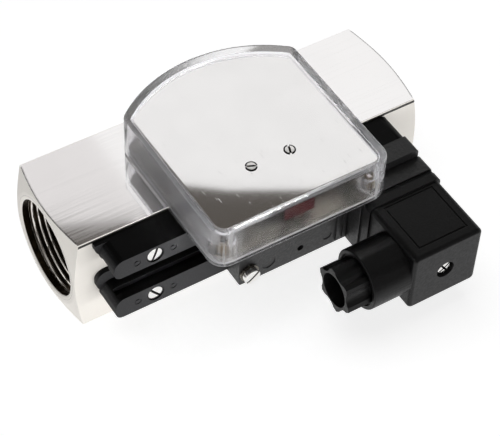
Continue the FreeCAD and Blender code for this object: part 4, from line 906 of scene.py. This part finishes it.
def add_thread(name, mouth, inwards):
    """A liner in a port: flat face, chamfer and plain mouth, then crests and roots along a helix."""
    around, per_pitch = 96, 8
    threaded = THREAD_LENGTH - THREAD_CHAMFER
    steps = round(threaded / THREAD_PITCH * per_pitch)

    def ring(depth, radius=None):
        row = []
        for angle in full_turn(around):
            reach = radius or thread_radius(depth, angle / (2 * math.pi))
            row.append((mouth + inwards * depth, reach * math.cos(angle), reach * math.sin(angle)))
        return row

    rows = [
        ring(0, THREAD_BACK),
        ring(-LINER_STAND, PORT_RADIUS + LINER_OVERLAP),
        ring(-LINER_STAND, THREAD_CREST + THREAD_CHAMFER),
    ]
    rows += [ring(THREAD_CHAMFER + threaded * step / steps) for step in range(steps + 1)]
    rows.append(ring(THREAD_LENGTH, THREAD_BACK))
    shape = bmesh.new()
    loft(shape, rows, closed=True)
    return add_piece(name, mesh_from(name, shape, math.radians(50)), "meter", "nickel", THREAD_METAL)


def add_spring():
    """The return spring as round wire."""
    low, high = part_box("return_spring")
    coil_radius = (high.y - low.y) / 2 - SPRING_WIRE
    around, per_turn = 10, 36
    start, end = low.x + SPRING_WIRE, high.x - SPRING_WIRE
    count = SPRING_TURNS * per_turn
    along = Vector((1, 0, 0))
    rows = []
    for step in range(count + 1):
        angle = 2 * math.pi * step / per_turn
        outwards = Vector((0, math.cos(angle), math.sin(angle)))
        centre = along * (start + (end - start) * step / count) + coil_radius * outwards
        sides = [math.cos(side) * outwards + math.sin(side) * along for side in full_turn(around)]
        rows.append([centre + SPRING_WIRE * side for side in sides])
    shape = bmesh.new()
    cap(shape, loft(shape, rows))
    mesh = mesh_from("spring_wire", shape, math.radians(40))
    piece = add_piece("spring_wire", mesh, "meter", "steel", stands_for="return_spring")
    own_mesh(piece)


add_rail_screws()
add_dial_screws()
add_front_screw("clamp_screw", CLAMP_SCREW_STOP, CLAMP_SCREW)
add_front_screw("plug_screw", PLUG_SCREW_STOP, PLUG_SCREW, SCREW_RING, cross=True)
threads = [add_thread("inlet_thread", BODY_LOW.x, 1), add_thread("outlet_thread", BODY_HIGH.x, -1)]
add_spring()
cover = add_cover()
for name in SOFT_PIECES:
    soften_node(name)

# Paper floor and white surroundings: strength of what they light, and of what is seen of them
FLOOR_REACH = 6
FLOOR_LEVEL = cad_low.z
PAPER_STRENGTH = dict(lit=0.45, shown=0.8)
SURROUNDINGS_STRENGTH = dict(lit=0.05, shown=1.0)

# A wide sun over the floor, tilted in degrees
SUN_POWER = 1.1
SUN_WIDTH = 50
SUN_TILT = (-12, -12, 0)

# A narrow lamp whose reflection shows in the cover and on the bar
STRIP_PLACE = (0.33, -0.418, 0.62)
STRIP_TARGET = (0.33, -0.058, 0.04)
STRIP_SIZE = (0.07, 0.6)
MIDDLE = (cad_low + cad_high) / 2


def background_level(tree, socket, lit, shown):
    """Give a strength one level for what it lights, and another for what is seen, also in reflections."""
    path = tree.nodes.new("ShaderNodeLightPath")

    def clamped(operation, first, second):
        node = tree.nodes.new("ShaderNodeMath")
        node.operation = operation
        node.use_clamp = True
        tree.links.new(first, node.inputs[0])
        tree.links.new(second, node.inputs[1])
        return node.outputs[0]

    seen = path.outputs["Is Camera Ray"]
    for kind in ("Is Glossy Ray", "Is Transmission Ray"):
        seen = clamped("ADD", seen, path.outputs[kind])
    direct = clamped("SUBTRACT", seen, path.outputs["Diffuse Depth"])
    level = tree.nodes.new("ShaderNodeMapRange")
    level.inputs["To Min"].default_value = lit
    level.inputs["To Max"].default_value = shown
    tree.links.new(direct, level.inputs["Value"])
    tree.links.new(level.outputs[0], socket)


def at_height(points, height):
    return [(x, y, height) for x, y in points]


def add_panel(name, corners, finish):
    """A flat sheet that is part of the stage."""
    mesh = bpy.data.meshes.new(name)
    mesh.from_pydata(corners, [], [tuple(range(len(corners)))])
    mesh.materials.append(finish.material)
    panel = link(bpy.data.objects.new(name, mesh))
    return panel


def add_floor():
    paper = Finish("paper", PAPER, specular=0)
    paper.set("Emission Color", WHITE)
    background_level(paper.tree, paper.shader.inputs["Emission Strength"], **PAPER_STRENGTH)
    paper.material.cycles.emission_sampling = "NONE"
    reach = FLOOR_REACH
    corners = [(-reach, -reach), (reach, -reach), (reach, reach), (-reach, reach)]
    return add_panel("floor", at_height(corners, FLOOR_LEVEL), paper)


def add_surroundings():
    world = bpy.data.worlds.new("studio")
    bpy.context.scene.world = world
    world.use_nodes = True
    background = world.node_tree.nodes["Background"]
    background.inputs["Color"].default_value = WHITE
    background_level(world.node_tree, background.inputs["Strength"], **SURROUNDINGS_STRENGTH)
    world.cycles.sampling_method = "NONE"


def area_light(name, place, size, power, target=MIDDLE):
    """A soft rectangular lamp that isn't seen itself."""
    data = bpy.data.lights.new(name, "AREA")
    data.shape = "RECTANGLE"
    data.size, data.size_y = size
    data.energy = power
    lamp = link(bpy.data.objects.new(name, data))
    lamp.location = place
    lamp.rotation_euler = (Vector(target) - Vector(place)).to_track_quat("-Z", "Y").to_euler()
    lamp.visible_camera = False
    return lamp


def diffuse_light(name, place, size, power):
    """A lamp that lights dull surfaces and doesn't show in reflections."""
    lamp = area_light(name, place, size, power)
    lamp.visible_glossy = False
    lamp.visible_transmission = False
    return lamp


def light_only(lamp, pieces):
    """Keep a lamp's light to some pieces."""
    receivers = bpy.data.collections.new(lamp.name)
    for piece in pieces:
        receivers.objects.link(piece)
    lamp.light_linking.receiver_collection = receivers


def light_all_but(lamp, piece):
    """Keep a lamp's light off one piece."""
    light_only(lamp, [piece])
    lamp.light_linking.receiver_collection.collection_objects[0].light_linking.link_state = "EXCLUDE"


def add_floor_sun(floor):
    """A soft light from above on the floor alone, which makes it white outside the object's shadow."""
    data = bpy.data.lights.new("floor_sun", "SUN")
    data.energy = SUN_POWER
    data.angle = math.radians(SUN_WIDTH)
    lamp = link(bpy.data.objects.new("floor_sun", data))
    lamp.rotation_euler = [math.radians(angle) for angle in SUN_TILT]
    light_only(lamp, [floor])


def studio_panel(name, corners, shade):
    """A panel of even shade that only shows in reflections, as a part of a studio does."""
    finish = Finish(name, BLACK, specular=0)
    finish.set("Emission Color", (*shade, 1))
    finish.set("Emission Strength", 1)
    panel = add_panel(name, corners, finish)
    panel.visible_camera = False
    panel.visible_diffuse = False
    panel.visible_shadow = False


add_surroundings()
add_floor_sun(add_floor())
diffuse_light("key", place=(0.3, -0.9, 0.03), size=(0.9, 0.15), power=5)
fill = diffuse_light("fill", place=(1.0, 0.7, 0.06), size=(0.9, 0.2), power=4)
light_all_but(fill, cover)
side = diffuse_light("side", place=(-0.8, -0.1, 0.1), size=(0.5, 0.2), power=2.5)
light_only(side, [cover])
bar_fill = diffuse_light("bar_fill", place=(-0.55, -0.75, 0.12), size=(0.5, 0.3), power=3.3)
light_only(bar_fill, [nodes["flow_body"], *threads])
for name, piece, power in (("cover_strip", cover, 28), ("bar_strip", nodes["flow_body"], 3)):
    strip = area_light(name, STRIP_PLACE, STRIP_SIZE, power, STRIP_TARGET)
    strip.visible_diffuse = False
    light_only(strip, [piece])

# Panels of the studio, which show in the polished faces: heights, shades and outlines from above
CEILING = 0.8
LOW_CEILING = 0.4
FRONT_TOP = 0.45
PANEL_GAP = 0.01
CEILING_SHADE = (0.11, 0.10, 0.09)
FRONT_SHADE = scaled(CEILING_SHADE, 1.3)
GREY_SHADE = (0.4, 0.395, 0.39)
PALE_SHADE = (0.83, 0.815, 0.815)
CEILING_BACK_EDGE = [
    (-1.5, 0.62), (0.25, 0.605), (0.335, 0.567), (0.345, 0.552), (0.36, 0.575), (0.42, 0.527),
    (0.52, 0.47), (0.7, 0.4), (1.5, 0.3),
]
FRONT_EDGE = [(1.5, -1.3), (-1.5, -1.3)]
FRONT_FOOT = [(-1.5, -0.17), (1.5, -0.17)]
LOW_CEILING_OUTLINE = [(0.335, 0.175), (0.45, 0.22), (0.45, 0.0), (0.30, 0.0), (0.30, 0.12)]
PALE_OUTLINE = [(0.15, 0.75), (0.362, 0.75), (0.362, 0.45), (0.15, 0.45)]
ZENITH_OUTLINE = [(-0.6, 0.36), (0.6, 0.36), (0.6, -0.5), (-0.6, -0.5)]
front_top = at_height(FRONT_EDGE, FRONT_TOP)
studio_panel("ceiling", at_height(CEILING_BACK_EDGE + FRONT_EDGE, CEILING), CEILING_SHADE)
studio_panel("low_ceiling", at_height(LOW_CEILING_OUTLINE, LOW_CEILING), CEILING_SHADE)
studio_panel("camera_side", at_height(FRONT_EDGE, CEILING) + front_top[::-1], GREY_SHADE)
studio_panel("front_panel", front_top + at_height(FRONT_FOOT, FLOOR_LEVEL), FRONT_SHADE)
studio_panel("pale_wall", at_height(PALE_OUTLINE, CEILING + PANEL_GAP), PALE_SHADE)
studio_panel("zenith", at_height(ZENITH_OUTLINE, CEILING - PANEL_GAP), GREY_SHADE)

camera_data = bpy.data.cameras.new("camera")
camera_data.lens = CAMERA_LENS
camera_data.sensor_width = SENSOR_WIDTH
camera = link(bpy.data.objects.new("camera", camera_data))
camera.location = CAMERA_PLACE
camera.rotation_euler = CAMERA_TURN
bpy.context.scene.camera = camera
bpy.context.scene.view_settings.view_transform = "Standard"
